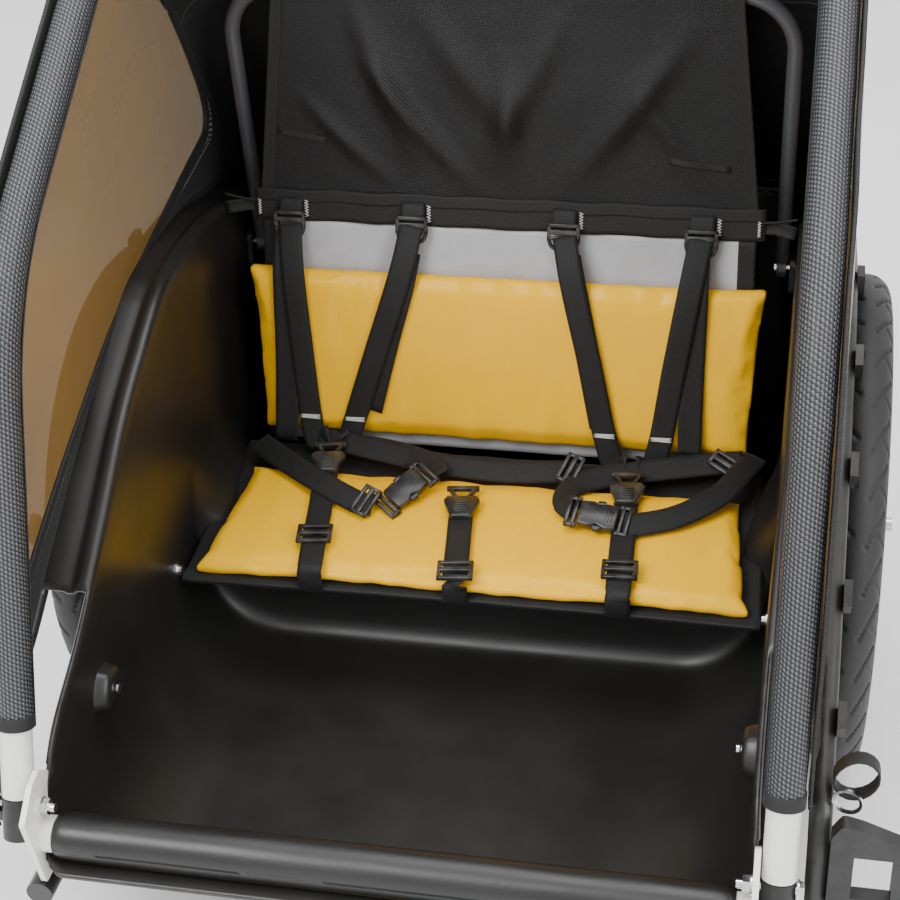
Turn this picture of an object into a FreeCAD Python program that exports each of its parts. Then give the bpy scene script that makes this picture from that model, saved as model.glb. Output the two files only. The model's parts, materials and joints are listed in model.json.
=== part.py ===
import FreeCAD, Part
import Sketcher
import math
import os

# Child bicycle trailer. Millimetres, +Z up, the front faces -Y, ground at z = 0.
# The origin is on the ground, under the middle of the whole trailer.

V = FreeCAD.Vector
doc = FreeCAD.newDocument("child_trailer")
sheet = doc.addObject("Spreadsheet::Sheet", "sizes")

DRIVING = {
    # tub
    "tub_half": 302, "tub_half_top": 306, "tub_wall": 4, "tub_floor": 100, "tub_bend": 95,
    "hump_top": 201, "boot_floor": 140, "rim_half": 358, "rim_thick": 5, "rim_lip": 10,
    "tub_back": 725,
    # chassis
    "axle_back": 393, "axle_height": 250, "beam_drop": 68, "beam_radius": 16,
    "rail_x": 308, "rail_height": 146, "rail_radius": 12,
    "front_tube_back": -112, "front_tube_height": 203, "front_tube_radius": 16,
    "foam_radius": 20.5, "plate_thick": 5,
    # hoops
    "hoop_x": 320, "hoop_radius": 14, "sleeve_radius": 16, "pivot_back": -110, "pivot_height": 232,
    "knee_back": 19, "knee_height": 654, "crown_back": 440, "crown_height": 930,
    "bow_x": 286, "bow_radius": 8, "bow_pivot_back": 600, "bow_pivot_height": 430,
    "bow_back": 555, "bow_height": 738, "pin_radius": 4,
    # wheels
    "wheel_x": 371, "tyre_radius": 250, "tyre_half": 23.5, "rim_radius": 203,
    "axle_radius": 6, "hub_radius": 16, "spoke_radius": 1, "running_gap": 0.05,
    # seat
    "seat_tilt": 6.45, "back_tilt": 8.9, "seat_front": 250, "seat_height": 221,
    "cushion_thick": 16, "cushion_deep": 166, "cushion_front_half": 279, "cushion_back_half": 262,
    "back_thick": 18, "back_tall": 188, "back_bottom_half": 264, "back_top_half": 274,
    "strap_wide": 25, "strap_thick": 1.6,
    # tow bar
    "tow_x": 308, "tow_back": -200, "tow_radius": 13, "tow_front": -743, "tow_rise": 330,
}


class Size:
    """A number together with the sheet expression that gives it."""

    def __init__(self, value, text):
        self.value = float(value)
        self.text = text

    def _join(self, other, value, sign, swap=False):
        other_text = other.text if isinstance(other, Size) else repr(float(other))
        first, second = (other_text, self.text) if swap else (self.text, other_text)
        return Size(value, "(" + first + " " + sign + " " + second + ")")

    def __add__(self, other):
        return self._join(other, self.value + float(other), "+")

    def __radd__(self, other):
        return self + other

    def __sub__(self, other):
        return self._join(other, self.value - float(other), "-")

    def __rsub__(self, other):
        return self._join(other, float(other) - self.value, "-", swap=True)

    def __mul__(self, other):
        return self._join(other, self.value * float(other), "*")

    def __rmul__(self, other):
        return self * other

    def __neg__(self):
        return self * -1

    def __float__(self):
        return self.value


class Sizes:
    pass


dim = Sizes()
for row, (alias, number) in enumerate(DRIVING.items(), start=1):
    sheet.set("A%d" % row, alias)
    sheet.set("B%d" % row, repr(float(number)))
    sheet.setAlias("B%d" % row, alias)
    setattr(dim, alias, Size(number, "sizes." + alias))
doc.recompute()

parts = []


def keep(obj, label):
    obj.Label = label
    parts.append(obj)
    return obj


def bind(obj, prop, size):
    if isinstance(size, Size):
        obj.setExpression(prop, size.text)
    else:
        setattr(obj, prop, size)


def vec(x, y, z):
    return V(float(x), float(y), float(z))


def turn_to(direction):
    return FreeCAD.Rotation(V(0, 0, 1), direction)


X_AXIS, Y_AXIS, Z_AXIS = V(1, 0, 0), V(0, 1, 0), V(0, 0, 1)
ALONG_X = turn_to(X_AXIS)
# Turns a flat outline drawn in (y, z) so that its thickness runs along +X.
FACING_X = FreeCAD.Rotation(V(1, 1, 1), 120)


def rod(radius, length, start, direction):
    obj = doc.addObject("Part::Cylinder", "rod")
    bind(obj, "Radius", radius)
    bind(obj, "Height", length)
    obj.Placement = FreeCAD.Placement(start, turn_to(direction))
    return obj


def block(long, wide, high, corner, rotation=FreeCAD.Rotation()):
    obj = doc.addObject("Part::Box", "block")
    bind(obj, "Length", long)
    bind(obj, "Width", wide)
    bind(obj, "Height", high)
    obj.Placement = FreeCAD.Placement(corner, rotation)
    return obj


def cut(base, tool):
    obj = doc.addObject("Part::Cut", "cut")
    obj.Base = base
    obj.Tool = tool
    return obj


def joined(shapes):
    obj = doc.addObject("Part::MultiFuse", "joined")
    obj.Shapes = shapes
    return obj


def together(shapes):
    """Several separate solids of one kind, kept in one sub-part."""
    obj = doc.addObject("Part::Compound", "together")
    obj.Links = shapes
    return obj


def mirrored(source):
    obj = doc.addObject("Part::Mirroring", "mirrored")
    obj.Source = source
    obj.Normal = X_AXIS
    return obj


def pair(source, name):
    """The same piece on the +X side and, mirrored, on the -X side."""
    keep(source, name + "_left")
    keep(mirrored(source), name + "_right")


def both_sides(source, name):
    """A piece and its mirror image, kept as two solids of one sub-part."""
    keep(together([source, mirrored(source)]), name)


def shaped(shape, placement=None):
    obj = doc.addObject("Part::Feature", "shaped")
    obj.Shape = shape
    if placement:
        obj.Placement = placement
    return obj


def origin_plane(body, role):
    return next(f for f in body.Origin.OriginFeatures if f.Role == role)


def draw(body, outline):
    """A closed outline of straight lines, each corner tied to its own two sizes."""
    sketch = body.newObject("Sketcher::SketchObject", "outline")
    sketch.AttachmentSupport = [(origin_plane(body, "XY_Plane"), "")]
    sketch.MapMode = "FlatFace"
    count = len(outline)
    corners = [vec(x, y, 0) for x, y in outline]
    for i in range(count):
        sketch.addGeometry(Part.LineSegment(corners[i], corners[(i + 1) % count]))
    for i in range(count):
        sketch.addConstraint(Sketcher.Constraint("Coincident", i, 2, (i + 1) % count, 1))
    for i, (x, y) in enumerate(outline):
        for kind, size in (("DistanceX", x), ("DistanceY", y)):
            index = sketch.addConstraint(Sketcher.Constraint(kind, -1, 1, i, 1, float(size)))
            if isinstance(size, Size):
                sketch.setExpression("Constraints[%d]" % index, size.text)
    return sketch


def plate(outline, thick, placement, holes=(), round_radius=0):
    """A flat plate: outline in its own XY plane, padded up, corners rounded, then drilled."""
    body = doc.addObject("PartDesign::Body", "plate")
    pad = body.newObject("PartDesign::Pad", "pad")
    pad.Profile = draw(body, outline)
    bind(pad, "Length", thick)
    doc.recompute()
    top = pad
    if round_radius:
        upright = []
        for i, edge in enumerate(pad.Shape.Edges):
            if abs(abs(edge.tangentAt(edge.FirstParameter).z) - 1) < 1e-6:
                upright.append("Edge%d" % (i + 1))
        top = body.newObject("PartDesign::Fillet", "rounded")
        top.Base = (pad, upright)
        top.Radius = round_radius
        doc.recompute()
    if holes:
        sketch = body.newObject("Sketcher::SketchObject", "holes")
        sketch.AttachmentSupport = [(origin_plane(body, "XY_Plane"), "")]
        sketch.MapMode = "FlatFace"
        for x, y, radius in holes:
            index = sketch.addGeometry(Part.Circle(vec(x, y, 0), Z_AXIS, float(radius)))
            number = sketch.addConstraint(Sketcher.Constraint("Radius", index, float(radius)))
            if isinstance(radius, Size):
                sketch.setExpression("Constraints[%d]" % number, radius.text)
            sketch.addConstraint(Sketcher.Constraint("DistanceX", -1, 1, index, 3, float(x)))
            sketch.addConstraint(Sketcher.Constraint("DistanceY", -1, 1, index, 3, float(y)))
        before = top.Shape.Volume
        pocket = body.newObject("PartDesign::Pocket", "drilled")
        pocket.Profile = sketch
        pocket.Type = "ThroughAll"
        pocket.Midplane = True
        doc.recompute()
        if pocket.Shape.Volume >= before:
            raise RuntimeError("a hole cut nothing")
    body.Placement = placement
    return body


def turned(outline, centre):
    """A round piece: outline as (place along X, radius), turned about the X axis."""
    body = doc.addObject("PartDesign::Body", "turned")
    revolution = body.newObject("PartDesign::Revolution", "revolution")
    sketch = draw(body, outline)
    revolution.Profile = sketch
    revolution.ReferenceAxis = (sketch, ["H_Axis"])
    revolution.Angle = 360
    body.Placement = FreeCAD.Placement(centre, FreeCAD.Rotation())
    return body


def bent_path(corners, radii):
    """Straight runs joined by tangent arcs; radii holds one radius per inner corner."""
    edges = []
    start = corners[0]
    for i, radius in enumerate(radii, start=1):
        corner = corners[i]
        back = (corners[i - 1] - corner).normalize()
        ahead = (corners[i + 1] - corner).normalize()
        half = back.getAngle(ahead) / 2
        reach = radius / math.tan(half)
        enter = corner + back * reach
        leave = corner + ahead * reach
        middle = corner + (back + ahead).normalize() * (radius / math.sin(half) - radius)
        edges.append(Part.LineSegment(start, enter).toShape())
        edges.append(Part.Arc(enter, middle, leave).toShape())
        start = leave
    edges.append(Part.LineSegment(start, corners[-1]).toShape())
    return Part.Wire(edges)


def pipe(corners, radii, radius):
    path = bent_path(corners, radii)
    ring = Part.Wire([Part.Circle(corners[0], corners[1] - corners[0], float(radius)).toShape()])
    return path.makePipeShell([ring], True, False)


def side_prism(points, low_x, high_x):
    """A prism across the trailer from an outline in (y, z)."""
    wire = Part.makePolygon([vec(low_x, y, z) for y, z in points + points[:1]])
    return Part.Face(wire).extrude(vec(high_x - low_x, 0, 0))


# ---------------------------------------------------------------- tub

RIM_FRONT_BACK = -72
SKY = 640


def rim_edge(drop, low_x, high_x):
    """Everything below the tub's swept rim line, which is lowered by drop."""
    rim = [(-72, 275), (-17, 306), (40, 336), (127, 396), (208, 447), (322, 504), (420, 517),
           (527, 505), (640, 482), (760, 468)]
    rim_points = [vec(low_x, y, z - drop) for y, z in rim]
    curve = Part.BSplineCurve()
    curve.interpolate(rim_points)
    below = [vec(low_x, 760, 40), vec(low_x, -560, 40), vec(low_x, -560, 184 - drop),
             vec(low_x, -106, 184 - drop), vec(low_x, -98, 225 - drop)]
    corners = [rim_points[-1]] + below + [rim_points[0]]
    edges = [curve.toShape()]
    edges += [Part.LineSegment(a, b).toShape() for a, b in zip(corners, corners[1:])]
    return Part.Face(Part.Wire(edges)).extrude(vec(high_x - low_x, 0, 0))


def rounded_plan(half, front, back, corner, low_z, high_z):
    box = Part.makeBox(2 * half, back - front, high_z - low_z, vec(-half, front, low_z))
    upright = [e for e in box.Edges if abs(abs(e.tangentAt(e.FirstParameter).z) - 1) < 1e-6]
    return box.makeFillet(corner, upright)


def tub_space(inset):
    """The room inside the tub, or its outside with no inset: a U across, a stepped floor along."""
    side = float(dim.tub_half) - inset
    top = float(dim.tub_half_top) - inset
    floor = float(dim.tub_floor) + inset
    bend = float(dim.tub_bend) - inset
    low, mid = bend * (1 - math.sqrt(0.5)), bend
    arc = []
    for sign in (1, -1):
        ends = [vec(sign * side, -560, floor + mid), vec(sign * (side - low), -560, floor + low),
                vec(sign * (side - mid), -560, floor)]
        arc.append(Part.Arc(*ends).toShape())
    edges = [arc[0], arc[1],
             Part.LineSegment(vec(side - mid, -560, floor), vec(mid - side, -560, floor)).toShape(),
             Part.LineSegment(vec(side, -560, floor + mid), vec(top, -560, SKY)).toShape(),
             Part.LineSegment(vec(-side, -560, floor + mid), vec(-top, -560, SKY)).toShape(),
             Part.LineSegment(vec(top, -560, SKY), vec(-top, -560, SKY)).toShape()]
    across = Part.Face(Part.Wire(Part.sortEdges(edges)[0])).extrude(vec(0, 1320, 0))
    boot, hump = float(dim.boot_floor), float(dim.hump_top)
    base = float(dim.tub_floor)
    outline = [(-499, SKY), (-58, base), (312, base), (335, hump), (462, hump), (490, boot),
               (655, boot), (741, SKY)]
    wire = Part.makePolygon([vec(-400, y, z) for y, z in outline + outline[:1]])
    if inset:
        wire = wire.makeOffset2D(-inset, 2)
    along = Part.Face(wire).extrude(vec(800, 0, 0))
    creases = []
    for edge in along.Edges:
        centre = edge.CenterOfMass
        if abs(edge.tangentAt(edge.FirstParameter).x) > 0.99 and centre.z < 400:
            creases.append(edge)
    along = along.makeFillet(22, creases)
    return across.common(along)


def tub_shell():
    wall = float(dim.tub_wall)
    inner = tub_space(wall)
    shell = tub_space(0).cut(inner).common(rim_edge(0, -420, 420))
    for low in (294, -310):
        plate_notch = Part.makeBox(16, 92, 160, vec(low, -160, 160))
        shell = shell.cut(plate_notch)
    half, back = float(dim.rim_half), float(dim.tub_back)
    slab = rim_edge(0, -420, 420).cut(rim_edge(float(dim.rim_thick), -420, 420))
    brim = slab.common(rounded_plan(half, RIM_FRONT_BACK - 13, back, 12, 200, SKY))
    lip_ring = rounded_plan(half, RIM_FRONT_BACK - 13, back, 12, 200, SKY)
    lip_ring = lip_ring.cut(rounded_plan(half - 4, RIM_FRONT_BACK - 9, back - 4, 10, 190, SKY + 10))
    lip = rim_edge(0, -420, 420).cut(rim_edge(float(dim.rim_lip), -420, 420)).common(lip_ring)
    brim = brim.fuse(lip).common(Part.makeBox(800, 900, 500, vec(-400, RIM_FRONT_BACK, 200)))
    hoop_inner, hoop_outer = 299, 338
    for sign in (1, -1):
        low = hoop_inner if sign > 0 else -hoop_outer
        gap = Part.makeBox(hoop_outer - hoop_inner, 135, 300, vec(low, -85, 150))
        brim = brim.cut(gap)
    brim = brim.cut(inner)
    pieces = [brim]
    for sign in (1, -1):
        low = 338 if sign > 0 else -half
        pieces.append(Part.makeBox(half - 338, 25, 74, vec(low, -85, 198)))
        low = 300 if sign > 0 else -half
        pieces.append(Part.makeBox(half - 300, 8, 38, vec(low, -68, 198)))
    pieces.append(Part.makeBox(586, 18, 5, vec(-293, -140, 177)))
    return shell.fuse(pieces).removeSplitter()


keep(shaped(tub_shell()), "tub")


def clip(back, height, slope):
    rotation = FreeCAD.Rotation(X_AXIS, slope)
    return block(7, 24, 18, vec(dim.rim_half + 0.2, back - 12, height - 15), rotation)


CLIPS = [(3, 322, 28), (97, 377, 35), (196, 441, 30), (295, 493, 22), (415, 517, 0)]
clips = [clip(*place) for place in CLIPS]
keep(together(clips + [mirrored(c) for c in clips]), "rim_clips")

# The nose slopes back as it goes down, so the lenses lean with it.
nose_turn = FreeCAD.Rotation(X_AXIS, 129.25)
reflectors = [block(64, 22, 6, vec(x, -92.8, 141.6), nose_turn) for x in (-207, 143)]
keep(together(reflectors), "front_reflectors")

rear_lenses = [block(60, 6, 26, vec(x, 689.5, 250)) for x in (-250, 190)]
keep(together(rear_lenses), "rear_reflectors")

# ---------------------------------------------------------------- chassis

beam_z = dim.axle_height - dim.beam_drop
beam = rod(dim.beam_radius, 636, vec(-318, dim.axle_back, beam_z), X_AXIS)
saddles = [block(20, 24, 18, vec(side * dim.rail_x - 10, dim.axle_back - 12, 158.2))
           for side in (1, -1)]
keep(joined([beam] + saddles), "axle_beam")

upright = plate([(-20, -92), (20, -92), (20, 26), (-20, 26)], 8,
                FreeCAD.Placement(vec(318, dim.axle_back, dim.axle_height), FACING_X),
                round_radius=10)
boss = rod(14, 19, vec(326, dim.axle_back, dim.axle_height), X_AXIS)
bore = rod(dim.axle_radius, 40, vec(316, dim.axle_back, dim.axle_height), X_AXIS)
both_sides(cut(joined([upright, boss]), bore), "axle_holders")

both_sides(rod(dim.rail_radius, 559, vec(dim.rail_x, -129, dim.rail_height), Y_AXIS), "side_rails")

keep(rod(dim.front_tube_radius, 600, vec(-300, dim.front_tube_back, dim.front_tube_height), X_AXIS),
     "front_tube")
foam_bore = dim.front_tube_radius + 0.2
foam = turned([(-288, foam_bore), (288, foam_bore), (288, dim.foam_radius), (-288, dim.foam_radius)],
              vec(0, dim.front_tube_back, dim.front_tube_height))
keep(foam, "front_tube_foam")

kite = [(-16, -74), (6, -74), (40, -34), (30, 14), (8, 33), (-8, 30), (-34, 8)]
corner = plate(kite, dim.plate_thick,
               FreeCAD.Placement(vec(300, dim.pivot_back, dim.pivot_height), FACING_X),
               holes=[(0, 0, dim.pin_radius)], round_radius=3)
both_sides(corner, "corner_plates")


def hexagon(radius, length, start):
    """A hexagon head or nut along X, its thread hole the size of the pin."""
    points = [(radius * math.cos(k * math.pi / 3), radius * math.sin(k * math.pi / 3))
              for k in range(6)]
    return plate(points, length, FreeCAD.Placement(start, FACING_X))


def hinge_bolt():
    y, z = dim.pivot_back, dim.pivot_height
    return joined([rod(dim.pin_radius, 48, vec(287, y, z), X_AXIS),
                   rod(8.5, 2, vec(298, y, z), X_AXIS),
                   hexagon(7.5, 6, vec(291.9, y, z)),
                   rod(9, 1.5, vec(334.9, y, z), X_AXIS)])


def hinge_screw_head():
    return hexagon(7.5, 4, vec(336.2, dim.pivot_back, dim.pivot_height))


bolt = joined([hinge_bolt(), hinge_screw_head()])
both_sides(bolt, "hinge_bolts")

# ---------------------------------------------------------------- hoops


def hoop_corners(side=1):
    foot = vec(side * dim.hoop_x, dim.pivot_back, dim.pivot_height)
    knee = vec(side * dim.hoop_x, dim.knee_back, dim.knee_height)
    crown = vec(side * dim.hoop_x, dim.crown_back, dim.crown_height)
    return foot, knee, crown


KNEE_RADIUS, CROWN_RADIUS = 250, 90
foot, knee, crown = hoop_corners()
shin = (knee - foot).normalize()
thigh = (crown - knee).normalize()
far_foot, far_knee, far_crown = hoop_corners(-1)
hoop_route = [foot + shin * 9, knee, crown, far_crown, far_knee, far_foot + shin * 9]
keep(shaped(pipe(hoop_route, [KNEE_RADIUS, CROWN_RADIUS, CROWN_RADIUS, KNEE_RADIUS],
                 dim.hoop_radius)), "front_hoop")

sleeve_route = [foot + shin * 72, knee, crown - thigh * 110]
sleeve = pipe(sleeve_route, [KNEE_RADIUS], dim.sleeve_radius).cut(
    pipe([foot + shin * 71, knee, crown - thigh * 109], [KNEE_RADIUS], dim.hoop_radius + 0.2))
both_sides(shaped(sleeve), "hoop_sleeves")

socket = rod(14.2, 38, foot - shin * 30, shin)
socket_bore = rod(dim.pin_radius + dim.running_gap, 60, foot - V(30, 0, 0), X_AXIS)
both_sides(cut(socket, socket_bore), "hoop_feet")

bow_foot = vec(dim.bow_x, dim.bow_pivot_back, dim.bow_pivot_height)
bow_top = vec(dim.bow_x, dim.bow_back, dim.bow_height)
lean = (bow_top - bow_foot).normalize()
bow_route = [bow_foot + lean * 10, bow_top, V(-bow_top.x, bow_top.y, bow_top.z),
             V(-bow_foot.x, bow_foot.y, bow_foot.z) + lean * 10]
bow_tube = shaped(pipe(bow_route, [60, 60], dim.bow_radius))

eye_hole = dim.pin_radius + dim.running_gap
eye = turned([(-5, eye_hole), (5, eye_hole), (5, dim.bow_radius + 3), (-5, dim.bow_radius + 3)],
             bow_foot)
eye = cut(eye, rod(dim.bow_radius, 40, bow_foot + lean * 10, lean))
keep(joined([bow_tube, eye, mirrored(eye)]), "rear_hoop")
holder = plate([(-18, -26), (18, -26), (18, 16), (-18, 16)], 5.2,
               FreeCAD.Placement(bow_foot + V(8.6, 0, 0), FACING_X),
               holes=[(0, 0, dim.pin_radius)], round_radius=7)
both_sides(holder, "rear_hoop_holders")
rivet = joined([rod(dim.pin_radius, 21.5, bow_foot + V(-7.5, 0, 0), X_AXIS),
                rod(7, 2, bow_foot + V(-7.5, 0, 0), X_AXIS)])
both_sides(rivet, "rear_hoop_rivets")

cover_roll = rod(20, 450, vec(-225, dim.crown_back - 38, dim.crown_height - 8), X_AXIS)
keep(cover_roll, "front_cover_roll")

# ---------------------------------------------------------------- fabric cover

cloth = 2.5
roof_line = [(453.5, 938.5), (564, 744), (602, 694), (710, 484), (713, 485.5), (605, 696),
             (566.5, 746), (456, 940)]
keep(shaped(side_prism(roof_line, -318, 318)), "cover_back")

side_line = [(-60, 316), (-20, 470), (40, 640), (110, 707), (436, 922), (560, 748), (700, 486),
             (620, 491), (527, 511), (420, 523), (322, 510), (208, 453), (127, 402), (40, 342)]
window_line = [(-36, 402), (189, 503), (265, 526), (545, 595), (543, 735), (425, 880), (110, 676),
               (52, 620), (8, 540)]


def side_cover():
    panel = side_prism(side_line, 338.5, 338.5 + cloth)
    opening = side_prism(window_line, 330, 350)
    return panel.cut(opening)


pair(shaped(side_cover()), "side_cover")
pair(shaped(side_prism(window_line, 339, 340)), "side_window")

# ---------------------------------------------------------------- seat

seat_turn = FreeCAD.Rotation(X_AXIS, float(dim.seat_tilt))
seat_base = vec(0, dim.seat_front, dim.seat_height)
sling = plate([(-291, 0), (291, 0), (283, 226), (-283, 226)], 2.5,
              FreeCAD.Placement(seat_base + V(0, 0, -3), seat_turn))
keep(sling, "seat_sling")
cushion = plate([(-dim.cushion_front_half, 2), (dim.cushion_front_half, 2),
                 (dim.cushion_back_half, dim.cushion_deep), (-dim.cushion_back_half, dim.cushion_deep)],
                dim.cushion_thick, FreeCAD.Placement(seat_base, seat_turn), round_radius=4)
keep(cushion, "seat_cushion")

back_turn = FreeCAD.Rotation(X_AXIS, 90 - float(dim.back_tilt))
back_base = vec(0, 489, 259)
back = plate([(-dim.back_bottom_half, 0), (dim.back_bottom_half, 0), (dim.back_top_half, dim.back_tall),
              (-dim.back_top_half, dim.back_tall)], dim.back_thick,
             FreeCAD.Placement(back_base, back_turn), round_radius=4)
keep(back, "back_cushion")

back_plane = FreeCAD.Placement(back_base + V(0, 1.5, 0), back_turn)


def back_sheet(half_low, half_high, low, high, thick, forward=0.0):
    """A flat sheet in the seat back's plane, forward millimetres in front of its front."""
    base = back_plane.multVec(V(0, 0, forward))
    return plate([(-half_low, low), (half_low, low), (half_high, high), (-half_high, high)], thick,
                 FreeCAD.Placement(base, back_turn))


# The grey panel hangs behind the cushion, from under its lower edge up to the webbing band.
panel = back_sheet(262, 258, -14, 236, 1.5, forward=-2.5)
keep(panel, "back_panel")
band = back_sheet(266, 266, 237, 262, 2.5, forward=-3)


def in_back(x, up, forward):
    return back_plane.multVec(V(float(x), up, forward))


mesh_low = in_back(0, 263.5, -2)
mesh_high = V(0, float(dim.bow_back) - 11, float(dim.bow_height) - 2)
mesh_line = [(mesh_low.y, mesh_low.z), (mesh_high.y, mesh_high.z),
             (mesh_high.y + 1.5, mesh_high.z), (mesh_low.y + 1.5, mesh_low.z)]
keep(shaped(side_prism(mesh_line, -262, 262)), "mesh_back")

band_end = plate([(267, -10), (300, -6), (300, 6), (267, 10)], 1.5,
                 FreeCAD.Placement(in_back(0, 250, -2.5), back_turn))
both_sides(band_end, "band_end_straps")


def seat_screw(x, y, z):
    """A round head and a washer on the tub's wall."""
    return joined([rod(9, 1.5, vec(x - 2, y, z), X_AXIS), rod(5.5, 4.5, vec(x - 6, y, z), X_AXIS)])


SCREWS = [(297.8, 250, 224), (297.8, 478, 232)]
screws = [seat_screw(*place) for place in SCREWS]

# ---------------------------------------------------------------- harness

RING_X = [-228, -96, 64, 205]


def strap_ring(x):
    """A D ring: half a torus closed by a bar, hanging from its tab on the band."""
    outer, wire = 15.0, 2.0
    corners = [V(-outer, 9, 0), V(-outer, -9, 0), V(outer, -9, 0), V(outer, 9, 0)]
    bow = pipe([V(0, 9, 0)] + [corners[0]] + corners[1:3] + [corners[3], V(0.01, 9, 0)],
               [4, 8, 8, 4], wire)
    ring = shaped(bow)
    ring.Placement = FreeCAD.Placement(in_back(x, 240, 7), back_turn)
    return ring


keep(together([strap_ring(x) for x in RING_X]), "strap_rings")
tabs = []
for ring_x in RING_X:
    tab = plate([(-13, 250), (13, 250), (13, 268), (-13, 268)], 2,
                FreeCAD.Placement(in_back(ring_x, 0, 0), back_turn))
    tabs.append(tab)
keep(joined([band] + tabs), "back_band")


def back_strap(low_x, low_up, high_x, high_up, forward):
    """Webbing lying in front of the back cushion, from a low point to a high one."""
    half = float(dim.strap_wide) / 2
    low, high = V(low_x, low_up, 0), V(high_x, high_up, 0)
    side = (high - low).normalize().cross(Z_AXIS) * half
    corners = [low - side, low + side, high + side, high - side]
    return plate([(p.x, p.y) for p in corners], dim.strap_thick,
                 FreeCAD.Placement(in_back(0, 0, forward), back_turn))


FRONT = float(dim.back_thick)
SHOULDER = {
    "shoulder_straps_right": [[(-209, 10, -225, 226), (-236, 2, -231, 222)],
                              [(-163, 10, -96, 226), (-141, 30, -104, 180)]],
    "shoulder_straps_left": [[(124, 2, 66, 222), (110, 32, 78, 170)],
                             [(166, 2, 204, 228), (204, 8, 203, 224)]],
}
for name, straps in SHOULDER.items():
    runs = []
    for main, tail in straps:
        runs.append(back_strap(*main, FRONT + 5.5))
        runs.append(back_strap(*tail, FRONT + 2.5))
    keep(together(runs), name)


def seat_point(x, back_by, above):
    """A point over the seat cushion, back_by millimetres behind its front edge."""
    place = FreeCAD.Placement(seat_base, seat_turn)
    return place.multVec(V(float(x), float(back_by), float(dim.cushion_thick) + above))


def seat_plate(outline, thick, above, round_radius=0):
    return plate(outline, thick, FreeCAD.Placement(seat_point(0, 0, above), seat_turn),
                 round_radius=round_radius)


def seat_strap(x_front, x_back, front, back_by, above):
    """Webbing lying over the seat cushion, from its front end to its back end."""
    half = float(dim.strap_wide) / 2
    low, high = V(x_front, front, 0), V(x_back, back_by, 0)
    side = (high - low).normalize().cross(Z_AXIS) * half
    corners = [low - side, low + side, high + side, high - side]
    return seat_plate([(p.x, p.y) for p in corners], dim.strap_thick, above)


PLACES = {"right": (-178, -158), "centre": (-24, -6), "left": (144, 154)}
tongues, slides, drops = [], [], []
for name, (tongue_x, front_x) in PLACES.items():
    tongue_back = 112 if name == "centre" else 160
    strap_end = tongue_back - 14
    drops.append(seat_strap(front_x, tongue_x, -4, strap_end, 1.2))
    tongue = [(tongue_x - 20, tongue_back + 18), (tongue_x - 9, tongue_back - 12),
              (tongue_x + 9, tongue_back - 12), (tongue_x + 20, tongue_back + 18)]
    tongues.append(seat_plate(tongue, 6, 4.2, round_radius=3))
    slide_x = front_x + (tongue_x - front_x) * 0.5
    frame = [(slide_x - 17, strap_end / 2 - 11), (slide_x + 17, strap_end / 2 - 11),
             (slide_x + 17, strap_end / 2 + 11), (slide_x - 17, strap_end / 2 + 11)]
    slides.append(seat_plate(frame, 3.5, 3.4, round_radius=3))
keep(together(drops), "crotch_straps")
keep(together(tongues), "harness_tongues")
keep(together(slides), "strap_slides")

LAP_RUNS = [(-252, 186, -196, 168), (-156, 130, -112, 96), (268, 180, 196, 140)]
lap = [seat_strap(end_x, start_x, end_back, start_back, 12)
       for start_x, start_back, end_x, end_back in LAP_RUNS]
keep(together(lap), "lap_belts")

BUCKLES = [(-74, 132, 35), (110, 112, -8)]
shells = []
for x, back_by, turn in BUCKLES:
    angle = math.radians(turn)
    shell = []
    for dx, dy in ((-30, -17), (30, -17), (30, 17), (-30, 17)):
        shell.append((x + dx * math.cos(angle) - dy * math.sin(angle),
                      back_by + dx * math.sin(angle) + dy * math.cos(angle)))
    shells.append(seat_plate(shell, 11, 15, round_radius=5))
keep(together(shells), "side_release_buckles")

# ---------------------------------------------------------------- wheels

tyre_low = dim.tyre_radius - 40
rim_low = dim.rim_radius - 8
half = dim.tyre_half
TYRE = [(-10, tyre_low), (10, tyre_low), (half - 7, tyre_low + 2), (half, dim.tyre_radius - 26),
        (half - 1, dim.tyre_radius - 15), (half - 6, dim.tyre_radius - 6.5),
        (half - 13, dim.tyre_radius - 1.5), (4, dim.tyre_radius), (-4, dim.tyre_radius),
        (13 - half, dim.tyre_radius - 1.5), (6 - half, dim.tyre_radius - 6.5),
        (1 - half, dim.tyre_radius - 15), (-half, dim.tyre_radius - 26), (7 - half, tyre_low + 2)]
RIM = [(-6, rim_low), (6, rim_low), (13, dim.rim_radius), (13, tyre_low - 0.5),
       (10.2, tyre_low - 0.5), (9, dim.rim_radius + 2), (-9, dim.rim_radius + 2),
       (-10.2, tyre_low - 0.5), (-13, tyre_low - 0.5), (-13, dim.rim_radius)]
bore_radius = dim.axle_radius + dim.running_gap
flange = dim.hub_radius + 10
HUB = [(-24, bore_radius), (28, bore_radius), (28, dim.hub_radius - 3), (22, dim.hub_radius - 3),
       (22, flange), (19, flange), (17, dim.hub_radius), (-17, dim.hub_radius), (-19, flange),
       (-22, flange), (-22, dim.hub_radius - 3), (-24, dim.hub_radius - 3)]
AXLE = [(-45, 0), (31, 0), (31, dim.axle_radius), (-45, dim.axle_radius)]
BUTTON = [(20, 0), (43, 0), (43, 7), (35.5, 7), (35.5, 3), (20, 3)]
wheel_centre = vec(dim.wheel_x, dim.axle_back, dim.axle_height)
pair(turned(TYRE, wheel_centre), "tyre")
pair(turned(HUB, wheel_centre), "hub")
axle_hole = rod(3.05, 30, wheel_centre + V(13, 0, 0), X_AXIS)
both_sides(cut(turned(AXLE, wheel_centre), axle_hole), "axle_pins")
pair(turned(BUTTON, wheel_centre), "axle_button")

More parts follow.
